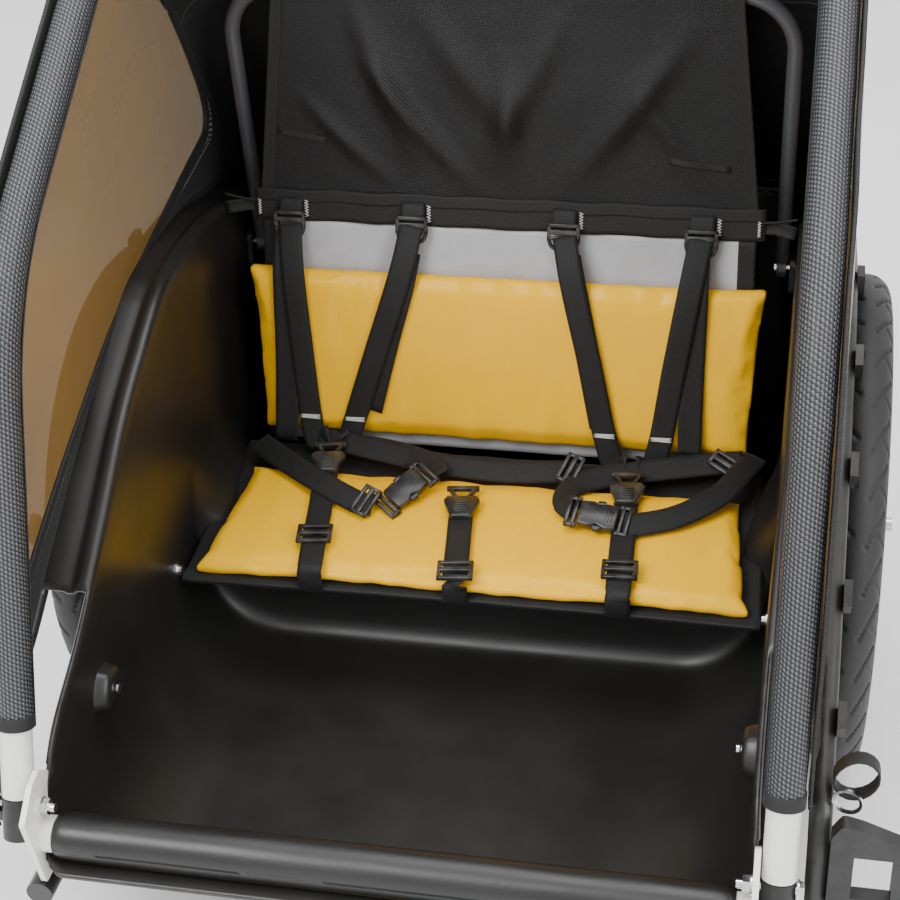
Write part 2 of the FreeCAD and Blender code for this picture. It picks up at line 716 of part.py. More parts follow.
SPOKES = 20
spokes = []
for k in range(SPOKES):
    outward = V(0, math.cos(2 * math.pi * k / SPOKES), math.sin(2 * math.pi * k / SPOKES))
    side = 1 if k % 2 else -1
    start = wheel_centre + V(side * 20.5, 0, 0) + outward * (float(flange) + 0.3)
    end = wheel_centre + V(side * 2.0, 0, 0) + outward * float(rim_low)
    spokes.append(rod(dim.spoke_radius, (end - start).Length, start, end - start))
pair(together([turned(RIM, wheel_centre)] + spokes), "wheel_rim")

# ---------------------------------------------------------------- wheel guards and corner trim

GUARD = [(0, -2), (18, -22), (60, -22), (60, 66), (24, 80), (8, 84), (0, 70)]
guard_place = FreeCAD.Placement(vec(dim.rim_half + 0.2, -79, 204), FreeCAD.Rotation(X_AXIS, 90))
guard_body = plate(GUARD, 14, guard_place, round_radius=5)
guard_window = block(31, 40, 44, vec(dim.rim_half + 19, -110, 212))
both_sides(cut(guard_body, guard_window), "wheel_guards")

pull_ring = turned([(-1.2, 9.5), (1.2, 9.5), (1.2, 12), (-1.2, 12)], V(0, 0, 0))
pull_ring.Placement = FreeCAD.Placement(vec(369, -66, 290), FreeCAD.Rotation(Z_AXIS, 78))
keep(pull_ring, "pull_ring")
loop = doc.addObject("Part::Cut", "loop")
loop.Base = rod(19, 14, vec(375, -60, 306), Y_AXIS)
loop.Tool = rod(17.6, 14, vec(375, -60, 306), Y_AXIS)
keep(loop, "hand_loop")

flag = turned([(-35, 4.1), (35, 4.1), (35, 8), (-40, 8), (-40, 0), (-35, 0)], V(0, 0, 0))
flag.Placement = FreeCAD.Placement(vec(-292, 735, 410), FreeCAD.Rotation(Y_AXIS, -90))
flag_arm = block(16, 26, 20, vec(-300, 703, 380))
keep(joined([flag, flag_arm]), "flag_holder")

# ---------------------------------------------------------------- tow bar

tow_z = dim.rail_height
tongue_gap = 14.5
cheeks = []
for z in (tongue_gap, -tongue_gap - 6):
    cheeks.append(plate([(-20, -24), (20, -24), (20, 71), (-20, 71)], 6,
                        FreeCAD.Placement(vec(dim.tow_x, dim.tow_back, tow_z + z), FreeCAD.Rotation()),
                        holes=[(0, 0, dim.pin_radius + 1)], round_radius=6))
web = block(40, 12, 29, vec(dim.tow_x - 20, dim.tow_back + 59, tow_z - 14.5))
keep(joined(cheeks + [web]), "tow_bar_bracket")
hinge_pin = rod(dim.pin_radius + 1, 60, vec(dim.tow_x, dim.tow_back, tow_z - 26), Z_AXIS)
pin_head = rod(9, 3.5, vec(dim.tow_x, dim.tow_back, tow_z - 24.2), Z_AXIS)
keep(joined([hinge_pin, pin_head]), "tow_bar_pin")

EYE_RADIUS = 17
eye_block = rod(EYE_RADIUS, 28.4, vec(dim.tow_x, dim.tow_back, tow_z - 14.2), Z_AXIS)
eye_hole_tool = rod(dim.pin_radius + 1 + dim.running_gap, 40,
                    vec(dim.tow_x, dim.tow_back, tow_z - 20), Z_AXIS)
bar_end = vec(dim.tow_x - 30, dim.tow_front + 62, dim.tow_rise)
bar_route = [vec(dim.tow_x, dim.tow_back - EYE_RADIUS, tow_z), vec(dim.tow_x, -330, tow_z),
             vec(dim.tow_x - 30, -560, dim.tow_rise), bar_end]
bar = pipe(bar_route, [110, 110], dim.tow_radius)
keep(cut(joined([eye_block, shaped(bar)]), eye_hole_tool), "tow_bar")

knob = plate([(20 * math.cos(k * math.pi / 5) * (1 if k % 2 else 0.8),
               20 * math.sin(k * math.pi / 5) * (1 if k % 2 else 0.8)) for k in range(10)], 12,
             FreeCAD.Placement(vec(dim.tow_x, dim.tow_back, tow_z + 21.0), FreeCAD.Rotation()),
             holes=[(0, 0, dim.pin_radius + 1 + dim.running_gap)], round_radius=2.5)
keep(knob, "tow_bar_knob")

flex = turned([(-22, 0), (0, 0), (0, 13), (-6, 15), (-16, 11), (-22, 13)], V(0, 0, 0))
flex.Placement = FreeCAD.Placement(bar_end, FreeCAD.Rotation(Z_AXIS, 90))
keep(flex, "tow_bar_flex")
hitch_x, hitch_y, hitch_z = bar_end.x, float(dim.tow_front) + 15, bar_end.z
stem = rod(12, 10, bar_end + V(0, -32.2, 0), Y_AXIS)
neck = rod(8, 12, bar_end + V(0, -34, 0), Y_AXIS)
head = rod(15, 20, vec(hitch_x, hitch_y, hitch_z - 10), Z_AXIS)
hitch_hole = rod(4.1, 40, vec(hitch_x, hitch_y, hitch_z - 20), Z_AXIS)
keep(cut(joined([stem, neck, head]), hitch_hole), "hitch_eye")

# ---------------------------------------------------------------- foot tabs


def wall_tab():
    """A moulded D with a screw, on the tub's side wall beside the feet."""
    turn = FreeCAD.Rotation(Y_AXIS, -4)
    return plate([(-24, -15), (24, -15), (16, 14), (-10, 17)], 14,
                 FreeCAD.Placement(vec(281.9, 36, 248), FACING_X.multiply(turn)), round_radius=9)


both_sides(wall_tab(), "wall_tabs")
screws.append(rod(5, 2.5, vec(278.6, 34, 246), X_AXIS))
keep(together(screws + [mirrored(s) for s in screws]), "tub_screws")

# ---------------------------------------------------------------- check and write

doc.recompute()
for obj in doc.Objects:
    if "Invalid" in obj.State or "Error" in obj.State:
        raise RuntimeError("failed: %s %s %s" % (obj.Name, obj.Label, obj.State))
os.makedirs("parts", exist_ok=True)
names = [obj.Label for obj in parts]
if len(set(names)) != len(names):
    raise RuntimeError("two sub-parts share a name")
for obj in parts:
    shape = obj.Shape
    if shape.isNull() or not shape.isValid() or not shape.Solids:
        raise RuntimeError("bad shape: " + obj.Label)
    shape.exportStep("parts/%s.step" % obj.Label)
    box = shape.BoundBox
    print("%-24s %2d  %7.1f %7.1f  %7.1f %7.1f  %7.1f %7.1f" % (
        obj.Label, len(shape.Solids), box.XMin, box.XMax, box.YMin, box.YMax, box.ZMin, box.ZMax))
print(len(parts), "sub-parts")
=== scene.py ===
import json
import math
import bmesh
import bpy
from mathutils import Matrix, Vector, noise


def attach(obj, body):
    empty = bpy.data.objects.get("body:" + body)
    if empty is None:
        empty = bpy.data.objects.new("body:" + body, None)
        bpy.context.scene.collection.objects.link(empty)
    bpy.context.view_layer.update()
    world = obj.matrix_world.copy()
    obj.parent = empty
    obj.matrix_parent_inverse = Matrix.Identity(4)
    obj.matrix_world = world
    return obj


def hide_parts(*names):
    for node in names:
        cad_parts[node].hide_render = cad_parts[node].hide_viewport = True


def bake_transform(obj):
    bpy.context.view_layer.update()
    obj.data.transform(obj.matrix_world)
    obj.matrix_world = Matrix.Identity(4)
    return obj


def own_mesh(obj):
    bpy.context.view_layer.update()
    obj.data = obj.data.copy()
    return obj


# Looks of a two-seat child bicycle trailer. Metres, +Z up, the front faces -Y.

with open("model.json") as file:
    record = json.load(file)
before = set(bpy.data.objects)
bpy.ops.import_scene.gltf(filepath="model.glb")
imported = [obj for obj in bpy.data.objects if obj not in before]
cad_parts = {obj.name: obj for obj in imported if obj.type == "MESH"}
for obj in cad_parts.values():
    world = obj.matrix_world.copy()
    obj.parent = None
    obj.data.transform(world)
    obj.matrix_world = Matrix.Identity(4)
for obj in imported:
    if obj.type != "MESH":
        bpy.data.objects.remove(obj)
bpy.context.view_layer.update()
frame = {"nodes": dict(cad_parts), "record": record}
nodes = frame["nodes"]


def at(x, y, z):
    """A point of the maker's drawing, which is in millimetres."""
    return Vector((x, y, z)) * 0.001


# ---------------------------------------------------------------- camera, floor and light

CAMERA_PLACE = at(295.5, -1164.8, 1286.5)
CAMERA_YAW, CAMERA_PITCH, CAMERA_ROLL = -12.10, 31.73, -2.387
CAMERA_LENS, FILM_WIDTH = 72.13, 36.0
NEAREST_SEEN = 0.05
WORLD_STRENGTH = 1.35
# Each light's name, place, aim, size and power.
LIGHTS = [("key", (-1.2, -1.6, 2.6), (0, 0.2, 0.3), (1.6, 1.2), 80),
          ("fill", (1.8, -1.2, 1.9), (0, 0.2, 0.4), (1.5, 1.5), 40),
          ("top", (0.1, 0.6, 2.8), (0, 0.3, 0.3), (1.6, 1.6), 45)]
FLOOR_RADIUS, FLOOR_DROP = 9, 0.001


def set_camera():
    yaw, pitch, roll = (math.radians(a) for a in (CAMERA_YAW, CAMERA_PITCH, CAMERA_ROLL))
    ahead = Vector((math.sin(yaw) * math.cos(pitch), math.cos(yaw) * math.cos(pitch), -math.sin(pitch)))
    level = Vector((math.cos(yaw), -math.sin(yaw), 0))
    above = level.cross(ahead)
    right = level * math.cos(roll) + above * math.sin(roll)
    up = above * math.cos(roll) - level * math.sin(roll)
    camera = bpy.data.objects.new("camera", bpy.data.cameras.new("camera"))
    camera.data.lens = CAMERA_LENS
    camera.data.sensor_width = FILM_WIDTH
    camera.data.clip_start = NEAREST_SEEN
    turn = Matrix((right, up, -ahead)).transposed()
    camera.matrix_world = Matrix.Translation(CAMERA_PLACE) @ turn.to_4x4()
    bpy.context.scene.collection.objects.link(camera)
    bpy.context.scene.camera = camera


def soft_light(name, place, target, size, power):
    light = bpy.data.objects.new(name, bpy.data.lights.new(name, "AREA"))
    light.data.shape = "RECTANGLE"
    light.data.size, light.data.size_y = size
    light.data.energy = power
    light.location = place
    light.rotation_euler = (Vector(target) - Vector(place)).to_track_quat("-Z", "Y").to_euler()
    bpy.context.scene.collection.objects.link(light)


def set_studio():
    world = bpy.data.worlds.new("studio")
    world.use_nodes = True
    world.node_tree.nodes["Background"].inputs["Color"].default_value = (1, 1, 1, 1)
    world.node_tree.nodes["Background"].inputs["Strength"].default_value = WORLD_STRENGTH
    bpy.context.scene.world = world
    for light in LIGHTS:
        soft_light(*light)
    bm = bmesh.new()
    bmesh.ops.create_circle(bm, cap_ends=True, segments=64, radius=FLOOR_RADIUS)
    mesh = bpy.data.meshes.new("floor")
    bm.to_mesh(mesh)
    bm.free()
    floor = bpy.data.objects.new("floor", mesh)
    floor.location.z = -FLOOR_DROP
    bpy.context.scene.collection.objects.link(floor)
    floor.data.materials.append(Finish("pale_floor", (0.88, 0.88, 0.88), roughness=0.7).material)


# ---------------------------------------------------------------- finishes


def effect(name, inputs, outputs):
    """An empty node group with named values going in and out."""
    group = bpy.data.node_groups.new(name, "ShaderNodeTree")
    for label, value in inputs.items():
        kind = "NodeSocketVector" if value is None else "NodeSocketFloat"
        socket = group.interface.new_socket(label, in_out="INPUT", socket_type=kind)
        if value is not None:
            socket.default_value = value
    for label in outputs:
        group.interface.new_socket(label, in_out="OUTPUT", socket_type="NodeSocketFloat")
    return Wiring(group), group.nodes.new("NodeGroupInput"), group.nodes.new("NodeGroupOutput")


class Wiring:
    """Adds nodes to a tree and wires sockets or plain numbers into them."""

    def __init__(self, tree):
        self.tree = tree

    def node(self, kind, **inputs):
        made = self.tree.nodes.new(kind)
        for label, value in inputs.items():
            self.join(made.inputs[label.replace("_", " ")], value)
        return made

    def join(self, socket, value):
        if isinstance(value, bpy.types.NodeSocket):
            self.tree.links.new(value, socket)
        else:
            socket.default_value = value

    def sum(self, operation, *values, clamp=False):
        made = self.tree.nodes.new("ShaderNodeMath")
        made.operation = operation
        made.use_clamp = clamp
        for socket, value in zip(made.inputs, values):
            self.join(socket, value)
        return made.outputs[0]

    def wave(self, value, turns):
        """From 0 to 1 and back, that many times for each unit of value."""
        angle = self.sum("MULTIPLY", value, self.sum("MULTIPLY", turns, 2 * math.pi))
        return self.sum("MULTIPLY_ADD", self.sum("SINE", angle), 0.5, 0.5)

    def cloud(self, vector, scale, detail=2.0, roughness=0.5):
        made = self.node("ShaderNodeTexNoise", Vector=vector, Scale=scale, Detail=detail,
                         Roughness=roughness)
        return made.outputs[0]

    def between(self, value, low, high, from_low=0.0, from_high=1.0):
        made = self.node("ShaderNodeMapRange", Value=value, From_Min=from_low, From_Max=from_high,
                         To_Min=low, To_Max=high)
        return made.outputs["Result"]


def make_weave():
    """Threads that pass over and under each other."""
    wiring, into, out = effect("weave", {"Vector": None, "Across": 900.0, "Along": 900.0, "Slant": 0.0},
                               ["Height"])
    parts = wiring.node("ShaderNodeSeparateXYZ", Vector=into.outputs["Vector"])
    along = wiring.sum("MULTIPLY", parts.outputs["Y"], into.outputs["Along"])
    across = wiring.sum("MULTIPLY", parts.outputs["X"], into.outputs["Across"])
    slanted = wiring.sum("ADD", across, wiring.sum("MULTIPLY", along, into.outputs["Slant"]))
    one = wiring.sum("SINE", wiring.sum("MULTIPLY", slanted, math.pi))
    two = wiring.sum("SINE", wiring.sum("MULTIPLY", along, math.pi))
    height = wiring.sum("MULTIPLY_ADD", wiring.sum("MULTIPLY", one, two), 0.5, 0.5)
    wiring.join(out.inputs["Height"], height)
    return wiring.tree


BRAID_LEAN = 0.45


def make_diamonds():
    """A braid of two sets of slanting threads: a painted highlight where one set lies on top."""
    wiring, into, out = effect("braid", {"Vector": None, "Around": 300.0, "Along": 200.0},
                               ["Light", "Height"])
    parts = wiring.node("ShaderNodeSeparateXYZ", Vector=into.outputs["Vector"])
    around = wiring.sum("MULTIPLY", parts.outputs["X"], into.outputs["Around"])
    straight = wiring.sum("MULTIPLY", parts.outputs["Y"], into.outputs["Along"])
    along = wiring.sum("ADD", straight, wiring.sum("MULTIPLY", around, BRAID_LEAN))
    one = wiring.sum("SINE", wiring.sum("MULTIPLY", wiring.sum("ADD", around, along), math.pi))
    two = wiring.sum("SINE", wiring.sum("MULTIPLY", wiring.sum("SUBTRACT", around, along), math.pi))
    product = wiring.sum("MULTIPLY", one, two)
    # Painted highlight mask: where one set of threads lies on top.
    wiring.join(out.inputs["Light"], wiring.between(product, 0, 1, 0.02, 0.30))
    wiring.join(out.inputs["Height"], wiring.sum("ABSOLUTE", product))
    return wiring.tree


def make_grain():
    """Fine pits and pores, and broad soft patches for handling marks."""
    wiring, into, out = effect("grain", {"Vector": None, "Fine": 700.0, "Broad": 9.0},
                               ["Height", "Patch"])
    cells = wiring.node("ShaderNodeTexVoronoi", Vector=into.outputs["Vector"],
                        Scale=into.outputs["Fine"])
    speckle = wiring.cloud(into.outputs["Vector"], into.outputs["Fine"])
    wiring.join(out.inputs["Height"], wiring.sum("ADD", cells.outputs["Distance"], speckle))
    wiring.join(out.inputs["Patch"], wiring.cloud(into.outputs["Vector"], into.outputs["Broad"], 5.0, 0.6))
    return wiring.tree


def make_wear():
    """A mask that is 1 on rubbed outer edges and broken up by speckle."""
    wiring, into, out = effect("edge_wear", {"Vector": None, "Reach": 0.06}, ["Mask"])
    bend = wiring.node("ShaderNodeNewGeometry").outputs["Pointiness"]
    low = wiring.sum("ADD", 0.5, wiring.sum("MULTIPLY", into.outputs["Reach"], 0.5))
    edge = wiring.between(bend, 0, 1, low, wiring.sum("ADD", 0.5, into.outputs["Reach"]))
    broken = wiring.between(wiring.cloud(into.outputs["Vector"], 60.0, 4.0), 0, 1, 0.42, 0.62)
    wiring.join(out.inputs["Mask"], wiring.sum("MULTIPLY", edge, broken, clamp=True))
    return wiring.tree


WEAVE, BRAID, GRAIN, WEAR = make_weave(), make_diamonds(), make_grain(), make_wear()


# Where a Mix node keeps its two colours and their mixture.
MIX_COLORS, MIX_RESULT = slice(6, 8), 2


class Finish(Wiring):
    """A material: its shader's own values, then the effects that vary them."""

    def __init__(self, name, color, roughness=0.5, metallic=0.0, **values):
        self.material = bpy.data.materials.new(name)
        self.material.use_nodes = True
        super().__init__(self.material.node_tree)
        self.shader = self.tree.nodes["Principled BSDF"]
        self.set("Base Color", (*color, 1.0))
        self.set("Roughness", roughness)
        self.set("Metallic", metallic)
        for label, value in values.items():
            self.set(label.replace("_", " ").title().replace("Ior", "IOR"), value)
        self.place = self.node("ShaderNodeTexCoord")

    def set(self, label, value):
        self.join(self.shader.inputs[label], value)

    def body(self):
        return self.place.outputs["Object"]

    def cloth(self):
        return self.place.outputs["UV"]

    def add(self, group, **inputs):
        made = self.tree.nodes.new("ShaderNodeGroup")
        made.node_tree = group
        for label, value in inputs.items():
            self.join(made.inputs[label], value)
        return made.outputs

    def blend(self, mask, one, two):
        """From colour one to colour two as the mask goes from 0 to 1."""
        made = self.tree.nodes.new("ShaderNodeMix")
        made.data_type = "RGBA"
        self.join(made.inputs["Factor"], mask)
        for socket, color in zip(made.inputs[MIX_COLORS], (one, two)):
            self.join(socket, (*color, 1.0) if isinstance(color, tuple) else color)
        return made.outputs[MIX_RESULT]

    def bump(self, height, strength, distance=0.001, under=None):
        made = self.node("ShaderNodeBump", Height=height, Strength=strength, Distance=distance)
        if under:
            self.join(made.inputs["Normal"], under)
        self.set("Normal", made.outputs["Normal"])
        return made.outputs["Normal"]


WORN_SHARE = 0.5
GLOSS_SPREAD = 0.12


def moulded(name, color, roughness, fine=900.0, depth=0.25, worn=(0.09, 0.085, 0.08)):
    """A moulded plastic or rubber with grain, soft patches and rubbed edges."""
    finish = Finish(name, color, roughness)
    grain = finish.add(GRAIN, Vector=finish.body(), Fine=fine)
    wear = finish.add(WEAR, Vector=finish.body())
    lighter = tuple(min(1.0, c * 1.7 + 0.004) for c in color)
    tone = finish.blend(grain["Patch"], color, lighter)
    rubbed = finish.sum("MULTIPLY", wear["Mask"], WORN_SHARE)
    finish.set("Base Color", finish.blend(rubbed, tone, worn))
    low, high = roughness - GLOSS_SPREAD / 2, roughness + GLOSS_SPREAD / 2
    finish.set("Roughness", finish.between(grain["Patch"], low, high, 0.3, 0.7))
    finish.bump(grain["Height"], depth, 0.0002)
    return finish.material


def metal(name, color, roughness):
    """Plated or turned metal with fine grain and cloudy gloss."""
    finish = Finish(name, color, roughness, 1.0)
    grain = finish.add(GRAIN, Vector=finish.body(), Fine=1500.0, Broad=25.0)
    low, high = roughness * 0.7, roughness * 1.4
    finish.set("Roughness", finish.between(grain["Patch"], low, high, 0.3, 0.7))
    finish.bump(grain["Height"], 0.15, 0.00005)
    return finish.material


def powder_coat(name, color, roughness):
    """Sprayed and baked paint, with a slight orange peel."""
    finish = Finish(name, color, roughness, Coat_Weight=0.25, Coat_Roughness=0.25)
    grain = finish.add(GRAIN, Vector=finish.body(), Fine=420.0, Broad=14.0)
    shade = tuple(c * 0.9 for c in color)
    finish.set("Base Color", finish.blend(grain["Patch"], color, shade))
    finish.bump(grain["Height"], 0.12, 0.0003)
    return finish.material


def woven(name, color, across, along, depth=0.6, slant=0.0, light=1.9, roughness=0.75, sheen=0.2):
    """Cloth whose threads follow the piece's own flat map, with painted shade in the gaps between threads and
    a painted highlight on their tops.
    """
    finish = Finish(name, color, roughness, Sheen_Weight=sheen, Sheen_Roughness=0.4)
    weave = finish.add(WEAVE, Vector=finish.cloth(), Across=across, Along=along, Slant=slant)
    patch = finish.add(GRAIN, Vector=finish.body(), Broad=22.0)["Patch"]
    # Painted shade and highlight: the weave's height darkens the colour in the gaps between threads and
    # lightens it on their tops, by the factor light, scaled by random tone patches.
    painted_thread_shade_and_tone = finish.sum("MULTIPLY", weave["Height"], finish.between(patch, 0.5, 1.2, 0.3, 0.7))
    lighter = tuple(min(1.0, c * light) for c in color)
    painted_gap_shade = tuple(c * 0.7 for c in color)
    finish.set("Base Color", finish.blend(painted_thread_shade_and_tone, painted_gap_shade, lighter))
    finish.bump(weave["Height"], depth, 0.0004)
    return finish.material


def vinyl():
    """Glossy coated cloth: a faint grid of threads under the skin, and small slack ripples."""
    finish = Finish("yellow_vinyl", (1.0, 0.55, 0.0), 0.4, Coat_Weight=0.12, Coat_Roughness=0.12,
                    Specular_IOR_Level=0.08)
    weave = finish.add(WEAVE, Vector=finish.body(), Across=700.0, Along=700.0)
    grain = finish.add(GRAIN, Vector=finish.body(), Fine=260.0, Broad=16.0)
    finish.set("Base Color", finish.blend(grain["Patch"], (1.0, 0.56, 0.0), (0.97, 0.50, 0.0)))
    finish.set("Roughness", finish.between(grain["Patch"], 0.28, 0.44, 0.3, 0.7))
    under = finish.bump(weave["Height"], 0.10, 0.0002)
    ripples = finish.cloud(finish.body(), 38.0, 3.0)
    finish.bump(ripples, 0.22, 0.0025, under)
    return finish.material


NET_THREADS = 280.0


def open_mesh():
    """Black net: the gaps between its threads let the light through."""
    finish = Finish("black_mesh", (0.004, 0.004, 0.0048), 0.62, Sheen_Weight=0.04, Sheen_Roughness=0.3)
    parts = finish.node("ShaderNodeSeparateXYZ", Vector=finish.cloth())
    one, two = (finish.wave(finish.sum(way, parts.outputs["X"], parts.outputs["Y"]), NET_THREADS)
                for way in ("ADD", "SUBTRACT"))
    height = finish.sum("MULTIPLY", one, two)
    finish.set("Alpha", finish.between(height, 1.0, 0.35, 0.40, 0.75))
    finish.bump(height, 0.6, 0.0006)
    return finish.material


def sleeve():
    """Glossy black braid, pulled over the hoop's legs, with a painted grey highlight on its raised diamonds.
    """
    finish = Finish("sleeve_mesh", (0.1, 0.1, 0.1), 0.4, Coat_Weight=0.08, Coat_Roughness=0.2)
    braid = finish.add(BRAID, Vector=finish.cloth(), Around=300.0, Along=250.0)
    # Painted highlight: grey on the raised diamonds over the black braid, standing in for their glints.
    finish.set("Base Color", finish.blend(braid["Light"], (0.006, 0.006, 0.0065), (0.085, 0.09, 0.10)))
    finish.set("Roughness", finish.between(braid["Light"], 0.55, 0.3))
    finish.bump(braid["Height"], 0.8, 0.0006)
    return finish.material


def film():
    """Clear amber window film, glossy and slightly wavy."""
    finish = Finish("amber_film", (0.22, 0.125, 0.035), 0.2, Alpha=0.8, Specular_IOR_Level=0.15)
    finish.bump(finish.cloud(finish.body(), 5.0, 1.0), 0.15, 0.003)
    return finish.material


def lens(name, color):
    """A reflector's prisms: a grid of little corners under a clear face, with painted shade towards each
    prism's edge.
    """
    finish = Finish(name, color, 0.12, Coat_Weight=1.0, Coat_Roughness=0.03)
    prisms = finish.node("ShaderNodeTexVoronoi", Vector=finish.body(), Scale=330.0)
    # Painted shade: the colour darkens towards each prism's edge.
    shade = tuple(c * 0.45 for c in color)
    finish.set("Base Color", finish.blend(prisms.outputs["Distance"], color, shade))
    finish.bump(prisms.outputs["Distance"], 0.9, 0.001)
    return finish.material


FINISHES = {
    "tub_plastic": moulded("tub_plastic", (0.0095, 0.009, 0.0085), 0.37, 1100.0, 0.20,
                           (0.04, 0.039, 0.037)),
    "black_plastic": moulded("black_plastic", (0.006, 0.006, 0.006), 0.46, 700.0, 0.2,
                             (0.025, 0.025, 0.025)),
    "buckle_plastic": moulded("buckle_plastic", (0.010, 0.010, 0.011), 0.30, 1300.0, 0.1),
    "rubber": moulded("rubber", (0.010, 0.010, 0.010), 0.6, 500.0, 0.4, (0.03, 0.03, 0.03)),
    "tyre": moulded("tyre", (0.006, 0.006, 0.0065), 0.56, 800.0, 0.35, (0.020, 0.020, 0.021)),
    "foam": moulded("foam", (0.005, 0.005, 0.0052), 0.40, 260.0, 0.25, (0.015, 0.015, 0.015)),
    "black_steel": powder_coat("black_steel", (0.018, 0.018, 0.019), 0.38),
    "grey_tube": powder_coat("grey_tube", (0.07, 0.072, 0.08), 0.34),
    "white_tube": powder_coat("white_tube", (0.78, 0.775, 0.745), 0.36),
    "zinc": metal("zinc", (0.82, 0.82, 0.83), 0.16),
    "alloy": metal("alloy", (0.62, 0.62, 0.63), 0.28),
    "bright_steel": metal("bright_steel", (0.60, 0.60, 0.61), 0.22),
    "webbing": woven("webbing", (0.0045, 0.0045, 0.0048), 640.0, 420.0, 0.9, 0.5, 2.2, 0.7, 0.04),
    "black_cloth": woven("black_cloth", (0.0055, 0.0055, 0.006), 900.0, 900.0, 0.5, 0.0, 1.9, 0.75, 0.04),
    "grey_cloth": woven("grey_cloth", (0.50, 0.505, 0.53), 1100.0, 1100.0, 0.3, 0.0, 1.1, 0.5, 0.1),
    "yellow_cloth": woven("yellow_cloth", (0.80, 0.44, 0.006), 900.0, 900.0, 0.4, 0.0, 1.12, 0.55),
    "yellow_vinyl": vinyl(),
    "black_mesh": open_mesh(),
    "sleeve_mesh": sleeve(),
    "amber_film": film(),
    "clear_reflector": lens("clear_reflector", (0.80, 0.81, 0.83)),
    "red_reflector": lens("red_reflector", (0.55, 0.01, 0.01)),
    "white_thread": woven("white_thread", (0.72, 0.72, 0.70), 2500.0, 2500.0, 0.5, 0.0, 1.1),
}


def finish_cad_nodes():
    """Each carried-over part takes its own slot's finish."""
    for part in frame["record"]["subparts"]:
        data = nodes[part["node"]].data
        data.materials.clear()
        data.materials.append(FINISHES[part["material_slot"]])


# ---------------------------------------------------------------- shaping helpers


SPAN_STEPS = 12
HEADING_STEP = 0.004
ARC_STEP = 5


class Line:
    """A smooth line through points, asked for by the share of its length."""

    def __init__(self, points, smooth=True, closed=False):
        points = [Vector(p) for p in points]
        count = len(points)
        self.dots = []
        spans = count if closed else count - 1
        for i in range(spans):
            if closed:
                a, b, c, d = (points[(i + k) % count] for k in (-1, 0, 1, 2))
            else:
                b, c = points[i], points[i + 1]
                a = points[i - 1] if i else b + (b - c)
                d = points[i + 2] if i + 2 < count else c + (c - b)
            for t in (k / SPAN_STEPS for k in range(SPAN_STEPS)):
                self.dots.append(self._pull(a, b, c, d, t) if smooth else b.lerp(c, t))
        self.dots.append(points[0] if closed else points[-1])
        self.reach = [0.0]
        for one, two in zip(self.dots, self.dots[1:]):
            self.reach.append(self.reach[-1] + (two - one).length)
        self.length = self.reach[-1]

    @staticmethod
    def _pull(a, b, c, d, t):
        """The smooth point between b and c, t of the way, as their neighbours bend it."""
        bend = (a * -1 + b * 3 - c * 3 + d) * t ** 3 + (a * 2 - b * 5 + c * 4 - d) * t ** 2
        return (bend + (c - a) * t + b * 2) * 0.5

    def at(self, share):
        goal = min(max(share, 0.0), 1.0) * self.length
        low, high = 0, len(self.reach) - 1
        while high - low > 1:
            middle = (low + high) // 2
            if self.reach[middle] <= goal:
                low = middle
            else:
                high = middle
        gap = self.reach[high] - self.reach[low]
        return self.dots[low].lerp(self.dots[high], (goal - self.reach[low]) / gap if gap else 0.0)

    def heading(self, share):
        return (self.at(share + HEADING_STEP) - self.at(share - HEADING_STEP)).normalized()


def rounded_route(corners, radii):
    """Points along straight runs joined by tangent arcs, one radius for each inner corner."""
    route = [corners[0]]
    for i, radius in enumerate(radii, start=1):
        corner = corners[i]
        back = (corners[i - 1] - corner).normalized()
        ahead = (corners[i + 1] - corner).normalized()
        half = back.angle(ahead) / 2
        enter = corner + back * (radius / math.tan(half))
        centre = corner + (back + ahead).normalized() * (radius / math.sin(half))
        spoke = enter - centre
        axis = back.cross(ahead).normalized()
        turn = math.pi - 2 * half
        steps = max(6, int(math.degrees(turn) / ARC_STEP))
        for k in range(steps + 1):
            route.append(centre + Matrix.Rotation(-turn * k / steps, 3, axis) @ spoke)
    return route + [corners[-1]]


def skin(across, along, place, cut=(1.0, 1.0)):
    """A flat grid bent into shape: place(u, v) gives the point for u and v from 0 to 1.
    Its flat map is in metres, cut = (width, length) wide and long."""
    bm = bmesh.new()
    bmesh.ops.create_grid(bm, x_segments=across, y_segments=along, size=0.5)
    flat = bm.loops.layers.uv.new("UVMap")
    for face in bm.faces:
        for loop in face.loops:
            corner = loop.vert.co
            loop[flat].uv = ((corner.x + 0.5) * cut[0], (corner.y + 0.5) * cut[1])
    for vert in bm.verts:
        vert.co = place(vert.co.x + 0.5, vert.co.y + 0.5)
    return bm


WELD_GAP, WIDE_WELD_GAP = 1e-6, 1e-5


def sealed(bm):
    """Welds a rolled-up skin along its seam, closes its ends and turns its faces outwards."""
    bmesh.ops.remove_doubles(bm, verts=bm.verts, dist=WELD_GAP)
    bmesh.ops.holes_fill(bm, edges=[e for e in bm.edges if e.is_boundary])
    bmesh.ops.recalc_face_normals(bm, faces=bm.faces)
    return bm


def thicken(bm, thick):
    """Gives an open sheet its thickness, half to each side."""
    bmesh.ops.recalc_face_normals(bm, faces=bm.faces)
    bm.normal_update()
    lift = bm.verts.layers.float_vector.new("lift")
    for vert in bm.verts:
        vert[lift] = vert.normal * (thick / 2)
    under = list(bm.verts)
    made = bmesh.ops.extrude_face_region(bm, geom=bm.faces[:])
    for vert in under:
        vert.co -= vert[lift]
    for item in made["geom"]:
        if isinstance(item, bmesh.types.BMVert):
            item.co += item[lift]
    bm.verts.layers.float_vector.remove(lift)
    bmesh.ops.recalc_face_normals(bm, faces=bm.faces)
    bm.normal_update()
    return bm


